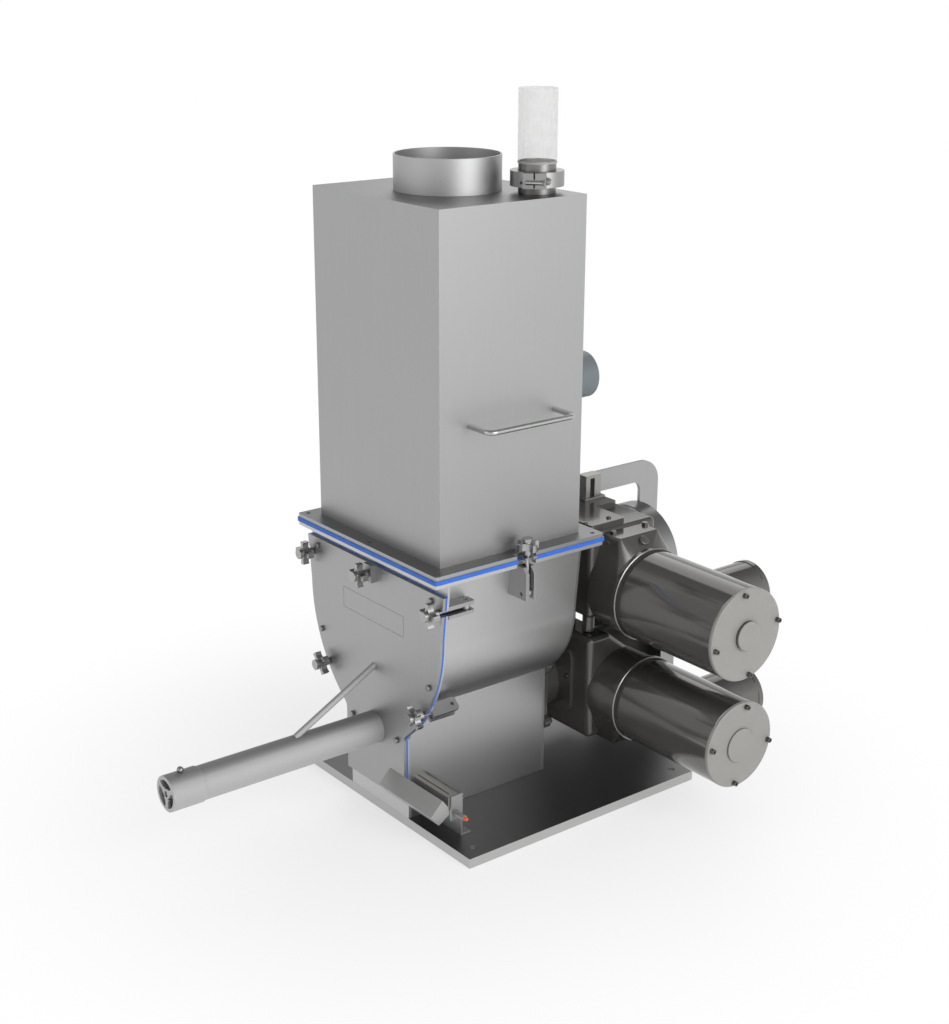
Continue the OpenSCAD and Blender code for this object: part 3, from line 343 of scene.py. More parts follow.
def brushedSteel(title, look):
    made, tree, shader = newMaterial(title)
    place = addNode(tree, "ShaderNodeTexCoord", (-900, 100))
    stretch = addNode(tree, "ShaderNodeMapping", (-700, 100))
    stretch.inputs["Scale"].default_value = look["stretch"]
    grain = placeGroup(tree, grainGroup, (-480, 100), {"Contrast": look["contrast"]})
    smudge = placeSmudges(tree, look, (-480, -140))
    wearAndHighlight = placeGroup(tree, edgeWearAndHighlightGroup, (-480, -340), {"Radius": look["edge"], "Breakup": look["breakup"]})
    tint = addNode(tree, "ShaderNodeVectorMath", (-220, 160), operation="SCALE")
    tint.inputs[0].default_value = look["colour"]
    # lighter colour on the edges: abrasion and painted highlight
    bright = addBlend(tree, (60, 160))
    bright.inputs["B"].default_value = shaded(look["colour"], look["edgeWearAndHighlightLift"])
    wire(tree, [
        (place.outputs["Object"], stretch.inputs["Vector"]),
        (stretch.outputs["Vector"], grain.inputs["Vector"]),
        (grain.outputs["Tone"], tint.inputs["Scale"]),
        (tint.outputs["Vector"], bright.inputs["A"]),
        (wearAndHighlight.outputs["Mask"], bright.inputs["Factor"]),
    ])
    dressShader(tree, shader, look, bright, smudge, grain.outputs["Height"])
    shader.inputs["Metallic"].default_value = 1.0
    return made


def paintedCasting(title, look):
    made, tree, shader = newMaterial(title)
    skin = placeGroup(tree, skinGroup, (-480, -300), {"Grain": look["grain"], "Waviness": look["waviness"]})
    smudge = placeSmudges(tree, look, (-480, 0))
    wearAndHighlight = placeGroup(tree, edgeWearAndHighlightGroup, (-480, 220), {"Radius": look["edge"], "Breakup": look["breakup"]})
    cloudy = addBlend(tree, (-200, 160))
    cloudy.inputs["A"].default_value = shaded(look["colour"])
    cloudy.inputs["B"].default_value = shaded(look["colour"], look["cloud"])
    # lighter colour on the edges: abrasion and painted highlight
    edged = addBlend(tree, (60, 160))
    edged.inputs["B"].default_value = shaded(look["colour"], look["edgeWearAndHighlightLift"])
    wire(tree, [
        (smudge.outputs["Mask"], cloudy.inputs["Factor"]),
        (cloudy.outputs["Result"], edged.inputs["A"]),
        (wearAndHighlight.outputs["Mask"], edged.inputs["Factor"]),
    ])
    dressShader(tree, shader, look, edged, smudge, skin.outputs["Height"])
    shader.inputs["Metallic"].default_value = look["metallic"]
    shader.inputs["Coat Weight"].default_value = look["coat"]
    shader.inputs["Coat Roughness"].default_value = look["coatRoughness"]
    return made


def wovenMesh(title, look):
    made, tree, shader = newMaterial(title)
    place = addNode(tree, "ShaderNodeTexCoord", (-1100, 0))
    split = addNode(tree, "ShaderNodeSeparateXYZ", (-900, -100))
    angle = addMath(tree, (-700, -200), "ARCTAN2")
    pitch = addMath(tree, (-520, -200), "MULTIPLY", look["threadsAround"])
    row = addMath(tree, (-700, -20), "MULTIPLY", look["threadsUp"])
    warp = addMath(tree, (-340, -200), "SINE")
    weft = addMath(tree, (-340, -20), "SINE")
    thread = addMath(tree, (-160, -100), "MAXIMUM")
    patch = addNoise(tree, (-700, 260), look["patch"])
    dense = addMath(tree, (20, -60), "ADD")
    cover = addRange(tree, (200, -60), look["cover"])
    tone = addBlend(tree, (200, 200))
    tone.inputs["A"].default_value = shaded(look["colour"], look["shade"])
    tone.inputs["B"].default_value = shaded(look["colour"])
    bump = placeBump(tree, look, (380, -260))
    wire(tree, [
        (place.outputs["Object"], split.inputs["Vector"]),
        (split.outputs["Y"], angle.inputs[0]),
        (split.outputs["X"], angle.inputs[1]),
        (angle.outputs[0], pitch.inputs[0]),
        (split.outputs["Z"], row.inputs[0]),
        (pitch.outputs[0], warp.inputs[0]),
        (row.outputs[0], weft.inputs[0]),
        (warp.outputs[0], thread.inputs[0]),
        (weft.outputs[0], thread.inputs[1]),
        (place.outputs["Object"], patch.inputs["Vector"]),
        (thread.outputs[0], dense.inputs[0]),
        (patch.outputs["Fac"], dense.inputs[1]),
        (dense.outputs[0], cover.inputs["Value"]),
        (patch.outputs["Fac"], tone.inputs["Factor"]),
        (tone.outputs["Result"], shader.inputs["Base Color"]),
        (cover.outputs["Result"], shader.inputs["Alpha"]),
        (thread.outputs[0], bump.inputs["Height"]),
        (bump.outputs["Normal"], shader.inputs["Normal"]),
    ])
    shader.inputs["Roughness"].default_value = look["roughness"]
    return made


# Brushed and rolled steels: stretch is the grain along X, Y and Z, paintedTopShadeAmount the painted shade on
# level faces, darker tops in place of the darker reflection from above
steelLook = {
    "colour": (0.385, 0.39, 0.387), "stretch": (520.0, 520.0, 14.0), "contrast": 0.07, "smudgeScale": 2.2,
    "roughness": 0.42, "spread": 0.05, "edge": 0.0008, "edgeWearAndHighlightLift": 1.35, "breakup": 90.0, "bump": 0.03,
    "depth": 0.0002, "paintedTopShadeAmount": 0.5,
}
brightLook = dict(steelLook, colour=(0.46, 0.46, 0.455), stretch=(500.0, 40.0, 500.0), roughness=0.26,
                  contrast=0.1, paintedTopShadeAmount=0.0)
plateLook = dict(steelLook, colour=(0.50, 0.50, 0.495), stretch=(420.0, 30.0, 420.0), paintedTopShadeAmount=0.74,
                 roughness=0.38)
troughLook = dict(steelLook, colour=(0.55, 0.555, 0.55), paintedTopShadeAmount=0.6)
legLook = dict(steelLook, colour=(0.48, 0.485, 0.482), roughness=0.34)
guardLook = dict(steelLook, colour=(0.32, 0.324, 0.321), roughness=0.3)
tubeLook = dict(steelLook, colour=(0.42, 0.425, 0.422), roughness=0.46, stretch=(300.0, 300.0, 300.0),
                contrast=0.05, paintedTopShadeAmount=0.0)
dischargeLook = dict(tubeLook, colour=(0.55, 0.555, 0.55), roughness=0.76, paintedTopShadeAmount=0.42)
barLook = dict(steelLook, colour=(0.40, 0.385, 0.36), roughness=0.46, paintedTopShadeAmount=0.2)
clampLook = dict(steelLook, colour=(0.33, 0.33, 0.325), roughness=0.4, stretch=(300.0, 300.0, 300.0),
                 paintedTopShadeAmount=0.3)
blockLook = dict(steelLook, colour=(0.34, 0.332, 0.32), roughness=0.4, paintedTopShadeAmount=0.2)
knobLook = dict(steelLook, colour=(0.39, 0.39, 0.385), stretch=(600.0, 600.0, 600.0), roughness=0.3,
                contrast=0.2, paintedTopShadeAmount=0.25)

# Paints, seals and plastics: cloud is the share of the darker patches, edgeWearAndHighlightLift that of the
# lighter edges, abraded and with a painted highlight
paintLook = {
    "colour": (0.5, 0.5, 0.5), "cloud": 0.9, "grain": 900.0, "waviness": 30.0, "smudgeScale": 20.0,
    "roughness": 0.5, "spread": 0.1, "edge": 0.001, "edgeWearAndHighlightLift": 1.3, "breakup": 45.0, "bump": 0.05,
    "depth": 0.0004, "metallic": 0.0, "coat": 0.0, "coatRoughness": 0.12, "paintedTopShadeAmount": 0.0,
}
castingLook = dict(paintLook, colour=(0.135, 0.13, 0.122), grain=500.0, waviness=20.0, smudgeScale=6.0,
                   roughness=0.15, spread=0.06, edge=0.0012, edgeWearAndHighlightLift=1.4, bump=0.012, metallic=0.5,
                   coat=0.05, paintedTopShadeAmount=0.3)
shellLook = dict(paintLook, colour=(0.168, 0.163, 0.154), cloud=0.94, grain=300.0, waviness=12.0,
                 smudgeScale=5.0, roughness=0.11, spread=0.03, edgeWearAndHighlightLift=1.05, bump=0.002, metallic=0.55,
                 paintedTopShadeAmount=0.5)
capLook = dict(paintLook, colour=(0.285, 0.278, 0.262), cloud=0.95, waviness=25.0, smudgeScale=9.0,
               roughness=0.42, edge=0.0012, bump=0.03, coat=0.05)
levelLook = dict(paintLook, colour=(0.155, 0.182, 0.2), grain=800.0, smudgeScale=12.0, roughness=0.45,
                 edge=0.0015, edgeWearAndHighlightLift=1.5, bump=0.1, coat=0.1)
sealLook = dict(paintLook, colour=(0.035, 0.155, 0.62), cloud=0.85, grain=1500.0, waviness=60.0,
                smudgeScale=30.0, spread=0.12, edge=0.0008, bump=0.06)
bushLook = dict(paintLook, colour=(0.75, 0.75, 0.73), cloud=0.93, edgeWearAndHighlightLift=1.1)
sensorLook = dict(paintLook, colour=(0.80, 0.12, 0.02), cloud=0.85, grain=1500.0, waviness=90.0,
                  smudgeScale=60.0, roughness=0.2, spread=0.05, edge=0.0006, edgeWearAndHighlightLift=1.2, bump=0.03,
                  coat=0.5)
hemLook = dict(paintLook, colour=(0.42, 0.42, 0.41), grain=2500.0, waviness=200.0, smudgeScale=60.0,
               roughness=0.75, edge=0.0004, edgeWearAndHighlightLift=1.1, bump=0.15)

# Woven mesh: waves of thread round the sleeve, and up it in radians to the metre; its cover goes from the
# gaps to the threads
meshLook = {
    "colour": (0.66, 0.66, 0.65), "shade": 0.72, "threadsAround": 90.0, "threadsUp": 3000.0,
    "patch": {"Scale": 55.0, "Detail": 3.0},
    "cover": {"From Min": 0.6, "From Max": 1.7, "To Min": 0.12, "To Max": 0.552},
    "roughness": 0.75, "bump": 0.3, "depth": 0.0003,
}

finishes = {
    "sheet_steel": brushedSteel("brushedSheet", steelLook),
    "bright_steel": brushedSteel("groundSteel", brightLook),
    "basePlate": brushedSteel("rolledPlate", plateLook),
    "troughSheet": brushedSteel("troughSheet", troughLook),
    "legSheet": brushedSteel("legSheet", legLook),
    "guardSheet": brushedSteel("guardSheet", guardLook),
    "rolledTube": brushedSteel("rolledTube", tubeLook),
    "dischargeTube": brushedSteel("dischargeTube", dischargeLook),
    "switchBar": brushedSteel("switchBar", barLook),
    "archBlock": brushedSteel("archBlock", blockLook),
    "doorScrews": brushedSteel("doorScrews", dict(blockLook, colour=(0.30, 0.30, 0.295), roughness=0.3)),
    "darkScrews": brushedSteel("darkScrews", dict(blockLook, colour=(0.16, 0.157, 0.15), roughness=0.3)),
    "ventClamp": brushedSteel("ventClamp", clampLook),
    "star_knobs": brushedSteel("blastedKnobs", knobLook),
    "vent_fittings": brushedSteel("dullFerrules", dict(steelLook, colour=(0.22, 0.215, 0.21), roughness=0.3)),
    "drive_castings": paintedCasting("driveCastings", castingLook),
    "motor_paint": paintedCasting("motorShell", shellLook),
    "cap_paint": paintedCasting("capPaint", capLook),
    "switch_paint": paintedCasting("switchPaint", levelLook),
    "seal_blue": paintedCasting("blueSeal", sealLook),
    "seal_white": paintedCasting("whiteBush", bushLook),
    "sensor_orange": paintedCasting("orangeWindow", sensorLook),
    "filter_cloth": wovenMesh("filterMesh", meshLook),
    "filterHem": paintedCasting("filterHem", hemLook),
}
print("finishes built:", len(finishes))


# Piece helpers

meshRules = {"faceWeight": 80, "weldWithin": 0.000002, "smoothBelow": 35.0}


def finishMesh(made, smoothAngle):
    for face in made.data.polygons:
        face.use_smooth = True
    made.data.set_sharp_from_angle(angle=math.radians(smoothAngle))
    weights = made.modifiers.new("faceWeights", "WEIGHTED_NORMAL")
    weights.keep_sharp = True
    weights.weight = meshRules["faceWeight"]


def linkPiece(title, mesh, slot, body, angle=meshRules["smoothBelow"], finish=None):
    made = bpy.data.objects.new(title, mesh)
    scene.collection.objects.link(made)
    made.data.materials.append(finishes[finish or slot])
    finishMesh(made, angle)
    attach(made, body)
    return made


def meshFrom(work, title):
    mesh = bpy.data.meshes.new(title)
    work.to_mesh(mesh)
    work.free()
    return mesh


def closeMesh(work, title):
    bmesh.ops.recalc_face_normals(work, faces=work.faces)
    return meshFrom(work, title)


def weld(work):
    bmesh.ops.remove_doubles(work, verts=work.verts, dist=meshRules["weldWithin"])


def turnTo(place, direction, twist=0.0):
    lean = Vector(direction).normalized().to_track_quat("Z", "Y").to_matrix().to_4x4()
    return Matrix.Translation(place) @ lean @ Matrix.Rotation(twist, 4, "Z")


def cornerAt(radius, height, offsets):
    return [(radius + out, height + up) for out, up in offsets]


def addTurned(work, profile, turn, count=48):
    rings = []
    for radius, height in profile:
        if radius == 0.0:
            rings.append([work.verts.new(turn @ Vector((0.0, 0.0, height)))])
            continue
        ring = []
        for step in range(count):
            angle = 2 * math.pi * step / count
            spot = Vector((radius * math.cos(angle), radius * math.sin(angle), height))
            ring.append(work.verts.new(turn @ spot))
        rings.append(ring)
    for low, high in zip(rings, rings[1:]):
        for step in range(count):
            after = (step + 1) % count
            if len(low) == 1:
                work.faces.new((low[0], high[step], high[after]))
            elif len(high) == 1:
                work.faces.new((low[step], low[after], high[0]))
            else:
                work.faces.new((low[step], low[after], high[after], high[step]))


def addSlab(work, outline, low, high, turn):
    floorRing = [work.verts.new(turn @ Vector((x, y, low))) for x, y in outline]
    topRing = [work.verts.new(turn @ Vector((x, y, high))) for x, y in outline]
    work.faces.new(floorRing[::-1])
    work.faces.new(topRing)
    for step in range(len(outline)):
        after = (step + 1) % len(outline)
        work.faces.new((floorRing[step], floorRing[after], topRing[after], topRing[step]))


# Screw heads: washer is its thickness and seat a share of that, the rest are shares of the head's own sizes
headShape = {"washer": 0.0016, "seat": 0.75, "rim": 0.86, "crown": 0.9, "lip": 0.12, "socketFloor": 0.4}


def addHexHead(work, turn, across, height, washer=0.0):
    radius = across / math.sqrt(3.0)
    if washer > 0.0:
        thick = headShape["washer"]
        addTurned(work, [(0.0, 0.0), (washer, 0.0), (washer, thick), (0.0, thick)], turn, count=32)
        turn = turn @ Matrix.Translation((0.0, 0.0, thick * headShape["seat"]))
    rim = height * headShape["rim"]
    crown = radius * headShape["crown"]
    addTurned(work, [(0.0, 0.0), (radius, 0.0), (radius, rim), (crown, height), (0.0, height)], turn, count=6)


def addSocketHead(work, turn, radius, height, socket=0.5):
    lip = radius * headShape["lip"]
    hole = radius * socket
    depth = height * headShape["socketFloor"]
    addTurned(work, [(0.0, 0.0), (radius, 0.0), (radius, height - lip), (radius - lip, height),
                     (hole, height), (hole, depth), (0.0, depth)], turn, count=24)


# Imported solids: copied with welded points and softly broken edges

dressLook = {"edge": 0.0005, "knobEdge": 0.0014, "segments": 2, "knobSegments": 3, "flatWithin": 0.6,
             "sharpFrom": 32.0}
edgeWidths = {
    "base_plate": 0.0025, "pedestal": 0.0006, "trough": 0.0006, "flange_gasket": 0.001, "hopper": 0.0008,
    "inlet_spigot": 0.0006, "door_plate": 0.0006, "upper_gearbox": 0.0008, "lower_gearbox": 0.0008,
    "rear_guard": 0.0008, "lift_arch": 0.0008, "interlock_hood": 0.0006, "terminal_boxes": 0.0015,
    "level_head": 0.0018, "door_screws": 0.0014,
}
edgeSegments = {"base_plate": 3, "level_head": 3, "door_screws": 3, "upper_gearbox": 3, "lower_gearbox": 3}
ownFinish = {
    "base_plate": "basePlate", "trough": "troughSheet", "front_plate": "troughSheet", "pedestal": "legSheet",
    "rear_guard": "guardSheet", "inlet_spigot": "rolledTube", "feed_tube": "dischargeTube",
    "outlet_sleeve": "dischargeTube", "interlock_switch": "switchBar", "arch_bracket": "archBlock",
    # pivot pins take the dark screw finish as painted shade in the bracket holes
    "vent_clamp_halves": "ventClamp", "pivot_pins": "darkScrews", "cap_screws": "darkScrews",
    "drive_screws": "darkScrews", "door_screws": "doorScrews", "outlet_pin": "doorScrews",
}
madeBelow = {"upper_cap", "lower_cap", "upper_motor", "lower_motor", "filter_sleeve", "outlet_sleeve"}


def softCopy(node, width, segments):
    work = bmesh.new()
    work.from_mesh(nodes[node].data)
    weld(work)
    bmesh.ops.dissolve_limit(work, angle_limit=math.radians(dressLook["flatWithin"]), verts=work.verts,
                             edges=work.edges)
    sharpFrom = math.radians(dressLook["sharpFrom"])
    sharp = [edge for edge in work.edges
             if len(edge.link_faces) == 2 and edge.calc_face_angle(0.0) > sharpFrom]
    bmesh.ops.bevel(work, geom=sharp, offset=width, segments=segments, profile=0.5, affect="EDGES",
                    clamp_overlap=True)
    return meshFrom(work, node + "Dressed")


for node in sorted(nodes):
    if node in madeBelow:
        continue
    isKnob = "knob" in node
    width = edgeWidths.get(node, dressLook["knobEdge"] if isKnob else dressLook["edge"])
    segments = edgeSegments.get(node, dressLook["knobSegments"] if isKnob else dressLook["segments"])
    piece = linkPiece(node + "Piece", softCopy(node, width, segments), slotOf[node], bodyOf[node],
                      finish=ownFinish.get(node))
    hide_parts(node)
print("solids dressed")


# End caps of the motors: turned cover with a raised middle, and a dark ring round that middle that is painted
# shade on its side

motorCaps = {
    "upper_cap": {"centre": (0.498, 0.332, 0.422), "radius": 0.094, "hub": 0.0295, "stands": 0.0086},
    "lower_cap": {"centre": (0.498, 0.332, 0.190), "radius": 0.0885, "hub": 0.035, "stands": 0.0045},
}
capShape = {
    "face": 0.007,
    "rim": [(0.0, -0.0022), (-0.0006, -0.001), (-0.0022, 0.0)],  # corner offsets, out and up
    "hubFoot": [(0.0014, 0.0), (0.0, 0.0012)],
    "hubTop": [(0.0, -0.0014), (-0.0005, -0.0005), (-0.0016, 0.0)],
    "collarIn": 0.001,
    "collarOut": 0.0005,
    "collarTop": 0.0018,
    "sides": 96,
}


def buildMotorCap(node, look):
    shape = capShape
    face = shape["face"]
    hub = look["hub"]
    top = face + look["stands"]
    turn = turnTo(look["centre"], (1, 0, 0))
    work = bmesh.new()
    profile = [(0.0, 0.0), (look["radius"], 0.0), *cornerAt(look["radius"], face, shape["rim"]),
               *cornerAt(hub, face, shape["hubFoot"]), *cornerAt(hub, top, shape["hubTop"]), (0.0, top)]
    addTurned(work, profile, turn, shape["sides"])
    piece = linkPiece(node + "Piece", closeMesh(work, node + "Turned"), slotOf[node], bodyOf[node],
                      angle=25.0)
    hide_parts(node)
    # painted shade: a dark ring over the side of the raised middle
    paintedShadeCollar = bmesh.new()
    inner = hub - shape["collarIn"]
    outer = hub + shape["collarOut"]
    low = face - shape["collarOut"]
    high = top - shape["collarTop"]
    addTurned(paintedShadeCollar, [(inner, low), (outer, low), (outer, high), (inner, high), (inner, low)], turn,
              shape["sides"])
    weld(paintedShadeCollar)
    linkPiece(node + "PaintedShadeCollar", closeMesh(paintedShadeCollar, node + "PaintedShadeCollar"), "drive_castings", bodyOf[node], angle=30.0)


for node, look in motorCaps.items():
    buildMotorCap(node, look)


# Motor shells: one turned tube each, with a small chamfer at both ends

motorShells = {
    "upper_motor": {"centre": (0.251, 0.332, 0.422), "radius": 0.094, "length": 0.247},
    "lower_motor": {"centre": (0.251, 0.332, 0.190), "radius": 0.0885, "length": 0.247},
}
shellShape = {
    "foot": [(-0.0011, 0.0), (-0.0003, 0.0004), (0.0, 0.0012)],
    "end": [(0.0, -0.001), (-0.001, 0.0)],
    "sides": 144,
}


def buildMotorShell(node, look):
    length = look["length"]
    work = bmesh.new()
    addTurned(work, [(0.0, 0.0), *cornerAt(look["radius"], 0.0, shellShape["foot"]),
                     *cornerAt(look["radius"], length, shellShape["end"]), (0.0, length)],
              turnTo(look["centre"], (1, 0, 0)), shellShape["sides"])
    piece = linkPiece(node + "Piece", closeMesh(work, node + "Turned"), slotOf[node], bodyOf[node],
                      angle=30.0)
    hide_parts(node)


for node, look in motorShells.items():
    buildMotorShell(node, look)


# Drive screws: hexagon screws on the upper gearbox, socket screws on the front plate and the cover

driveBolts = {
    "hexes": [(0.168, 0.380, 0.541), (0.168, 0.292, 0.541)],
    "across": 0.012,
    "head": 0.006,
    "washer": 0.0085,
    "twist": 0.3,
    "plateSpots": [(0.096, 0.217), (0.050, 0.144), (-0.080, 0.217), (-0.034, 0.144), (0.050, 0.264),
                   (-0.034, 0.264)],
    "plateFront": 0.239,
    "plateScrew": (0.0055, 0.0035),  # radius and height of the head
    "coverSpots": [(-0.044, 0.252), (0.128, 0.252), (0.128, 0.315), (-0.044, 0.390)],
    "coverTop": 0.560,
    "coverScrew": (0.0048, 0.0035),
}


def buildDriveBolts():
    look = driveBolts
    work = bmesh.new()
    for place in look["hexes"]:
        turn = turnTo(place, (0, 0, 1), look["twist"])
        addHexHead(work, turn, look["across"], look["head"], look["washer"])
    for x, z in look["plateSpots"]:
        addSocketHead(work, turnTo((x, look["plateFront"], z), (0, -1, 0)), *look["plateScrew"])
    for x, y in look["coverSpots"]:
        addSocketHead(work, turnTo((x, y, look["coverTop"]), (0, 0, 1)), *look["coverScrew"])
    linkPiece("driveBolts", closeMesh(work, "driveBolts"), "bright_steel", "machine", angle=30.0,
              finish="darkScrews")


# Cast bosses round the shoulder of the upper gearbox

driveBosses = {
    "places": [((0.172, 0.277, 0.521), (0, -1, 0)), ((0.216, 0.332, 0.531), (0.72, 0, 0.69)),
               ((0.172, 0.387, 0.521), (0, 1, 0))],
    "radius": 0.0105,
    "height": 0.005,
    "sink": 0.002,
    "crown": [(1.0, 0.55), (0.93, 0.85), (0.78, 1.0)],  # shares of radius and height
}


def buildDriveBosses():
    look = driveBosses
    wide = look["radius"]
    tall = look["height"]
    crown = [(wide * share, tall * level) for share, level in look["crown"]]
    work = bmesh.new()
    for place, direction in look["places"]:
        addTurned(work, [(0.0, -look["sink"]), (wide, -look["sink"]), *crown, (0.0, tall)],
                  turnTo(place, direction), count=32)
    linkPiece("driveBosses", closeMesh(work, "driveBosses"), "drive_castings", "machine", angle=40.0)


# Bright steel rims where the motors meet their flanges, a painted highlight along the seam

paintedHighlightRims = {"face": 0.2394, "proud": 0.003, "thick": 0.0008, "depth": 2.2, "lip": 0.0003, "sides": 144}


def buildPaintedHighlightRims():
    look = paintedHighlightRims
    thick = look["thick"]
    depth = look["depth"] * thick
    work = bmesh.new()
    for shell in motorShells.values():
        _, y, z = shell["centre"]
        wide = shell["radius"] + look["proud"]
        outer = wide + look["lip"]
        addTurned(work, [(wide - depth, 0.0), (wide - thick, 0.0), (outer, -thick), (outer, -depth),
                         (wide - depth, -depth), (wide - depth, 0.0)],
                  turnTo((look["face"], y, z), (1, 0, 0)), look["sides"])
    weld(work)
    # bright steel here is a painted highlight on the seam
    linkPiece("paintedHighlightRims", closeMesh(work, "paintedHighlightRims"), "bright_steel", "machine", angle=30.0)


# Small socket screws round the neck of each motor

ringScrews = {"place": 0.2455, "inset": 0.005, "sink": 0.0004, "count": 8, "offset": 0.35,
              "radius": 0.0028, "height": 0.0014, "socket": 0.6}


def buildRingScrews():
    look = ringScrews
    work = bmesh.new()
    for shell in motorShells.values():
        _, y, z = shell["centre"]
        radius = shell["radius"] - look["inset"]
        for step in range(look["count"]):
            angle = 2 * math.pi * (step + look["offset"]) / look["count"]
            ahead = Vector((0.0, math.cos(angle), math.sin(angle)))
            spot = Vector((look["place"], y, z)) + ahead * (radius - look["sink"])
            addSocketHead(work, turnTo(spot, ahead), look["radius"], look["height"], look["socket"])
    linkPiece("ringScrews", closeMesh(work, "ringScrews"), "bright_steel", "machine", angle=30.0,
              finish="darkScrews")


buildDriveBolts()
buildDriveBosses()
buildPaintedHighlightRims()
buildRingScrews()
print("drives dressed")


# Filter sleeve: thin woven mesh drawn over the vent collar, with a folded hem at its foot

filterLook = {
    "foot": (0.135, 0.104, 1.292),
    "radius": 0.0361,
    "height": 0.1335,
    "crown": 0.002,
    "crownSteps": 6,
    "lidShares": (0.55, 0.25),
    "rows": 36,
    "sides": 96,
    "hem": 0.0022,
    "hemOut": 0.0006,
    "hemIn": 0.0004,
    "hemFoot": [(-0.0003, 0.0), (0.0, 0.0006)],
    "hemTop": [(0.0, -0.0006), (-0.0003, 0.0)],
}


def buildFilter():
    look = filterLook
    radius = look["radius"]
    height = look["height"]
    crown = look["crown"]
    profile = [(radius, (height - crown) * row / look["rows"]) for row in range(look["rows"] + 1)]
    for step in range(1, look["crownSteps"] + 1):
        bend = math.pi / 2 * step / look["crownSteps"]
        share = 1.0 - crown / radius * (1 - math.cos(bend))
        profile.append((radius * share, height - crown + crown * math.sin(bend)))
    profile += [(radius * share, height) for share in look["lidShares"]] + [(0.0, height)]
    work = bmesh.new()
    addTurned(work, profile, Matrix.Identity(4), look["sides"])
    sleeve = linkPiece("filter_sleevePiece", closeMesh(work, "filterSleeve"), "filter_cloth", "machine",
                       angle=60.0)
    sleeve.location = look["foot"]
    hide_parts("filter_sleeve")

    work = bmesh.new()
    outer = radius + look["hemOut"]
    inner = radius - look["hemIn"]
    addTurned(work, [(inner, 0.0), *cornerAt(outer, 0.0, look["hemFoot"]),
                     *cornerAt(outer, look["hem"], look["hemTop"]), (inner, look["hem"]), (inner, 0.0)],
              Matrix.Identity(4), look["sides"])
    weld(work)
    hem = linkPiece("filterHem", closeMesh(work, "filterHem"), "filter_cloth", "machine", angle=40.0,
                    finish="filterHem")
    hem.location = look["foot"]


buildFilter()
print("filter sleeve drawn on")


# Barrel and nut that draw the two clamp halves together at the front right corner

clampBolt = {"centre": (0.135, 0.104, 1.2625), "reach": 0.0615, "radius": 0.0040, "half": 0.0155,
             "edge": 0.0006, "nut": 0.010, "nutHeight": 0.005}


def buildClampBolt():
    look = clampBolt
    outward = Vector((1.0, -1.0, 0.0)).normalized()
    along = Vector((1.0, 1.0, 0.0)).normalized()
    middle = Vector(look["centre"]) + outward * look["reach"]
    wide = look["radius"]
    half = look["half"]
    edge = look["edge"]
    work = bmesh.new()
    addTurned(work, [(0.0, -half), (wide - edge, -half), (wide, -half + edge), (wide, half - edge),
                     (wide - edge, half), (0.0, half)], turnTo(middle, along), count=32)
    addHexHead(work, turnTo(middle + along * half, along), look["nut"], look["nutHeight"])
    linkPiece("ventClampBarrel", closeMesh(work, "ventClampBarrel"), "bright_steel", "machine", angle=30.0)


buildClampBolt()
print("vent clamp closed")


# End bearing of the discharge tube: rolled end band, three spokes with rounded windows, and the hub

outletLook = {
    "centre": (0.0, 0.188),
    "tip": -0.650,
    "band": 0.067,
    "outer": 0.035,
    "rim": [(-0.0012, 0.0), (-0.0003, 0.0004), (0.0, 0.0012)],
    "end": [(0.0, -0.0008), (-0.0008, 0.0)],
    "wall": 0.0018,
    "bore": 0.0278,
    "plate": 0.006,
    "cone": 0.006,
    "hub": 0.0105,
    "hubEdge": 0.0008,
    "hubSink": 0.0003,
    "hubBack": 0.004,
    "shaft": 0.0062,
    "spoke": 0.0085,
    "spokeSink": 0.0006,
    "spokeAngles": (-90.0, 30.0, 150.0),
    "corner": 0.005,
    "hubFlare": [(-0.001, 1.0), (0.002, 0.35), (0.0045, 0.0)],  # distance from the hub, share of the corner
    "boreFlare": [(-0.0045, 0.0), (-0.0018, 0.35), (0.0012, 1.0)],
}


def buildOutlet():
    look = outletLook
    turn = turnTo((look["centre"][0], look["tip"], look["centre"][1]), (0, 1, 0))
    work = bmesh.new()
    outer = look["outer"]
    inner = outer - look["wall"]
    bore = look["bore"]
    plate = look["plate"]
    addTurned(work, [(bore, 0.0), *cornerAt(outer, 0.0, look["rim"]),
                     *cornerAt(outer, look["band"], look["end"]), (inner, look["band"]),
                     (inner, plate + look["cone"]), (bore, plate), (bore, 0.0)], turn, count=96)
    hub = look["hub"]
    shaft = look["shaft"]
    sink = look["hubSink"]
    back = plate + look["hubBack"]
    addTurned(work, [(shaft, sink), (hub - look["hubEdge"], sink), (hub, sink + look["hubEdge"]), (hub, back),
                     (shaft, back), (shaft, sink)], turn)
    weld(work)
    half = look["spoke"] / 2
    outline = [(hub + out, half + look["corner"] * share) for out, share in look["hubFlare"]]
    outline += [(bore + out, half + look["corner"] * share) for out, share in look["boreFlare"]]
    lower = [(along, -width) for along, width in reversed(outline)]
    for angle in look["spokeAngles"]:
        spokeTurn = turn @ Matrix.Rotation(math.pi - math.radians(angle), 4, "Z")
        addSlab(work, outline[::-1] + lower[::-1], look["spokeSink"], plate, spokeTurn)
    piece = linkPiece("outlet_sleevePiece", closeMesh(work, "outletSleeve"), slotOf["outlet_sleeve"],
                      "machine", finish=ownFinish["outlet_sleeve"])
    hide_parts("outlet_sleeve")


buildOutlet()
print("outlet bearing built")


# Studio: pale floor that fades into a white surround, darker overhead in reflections

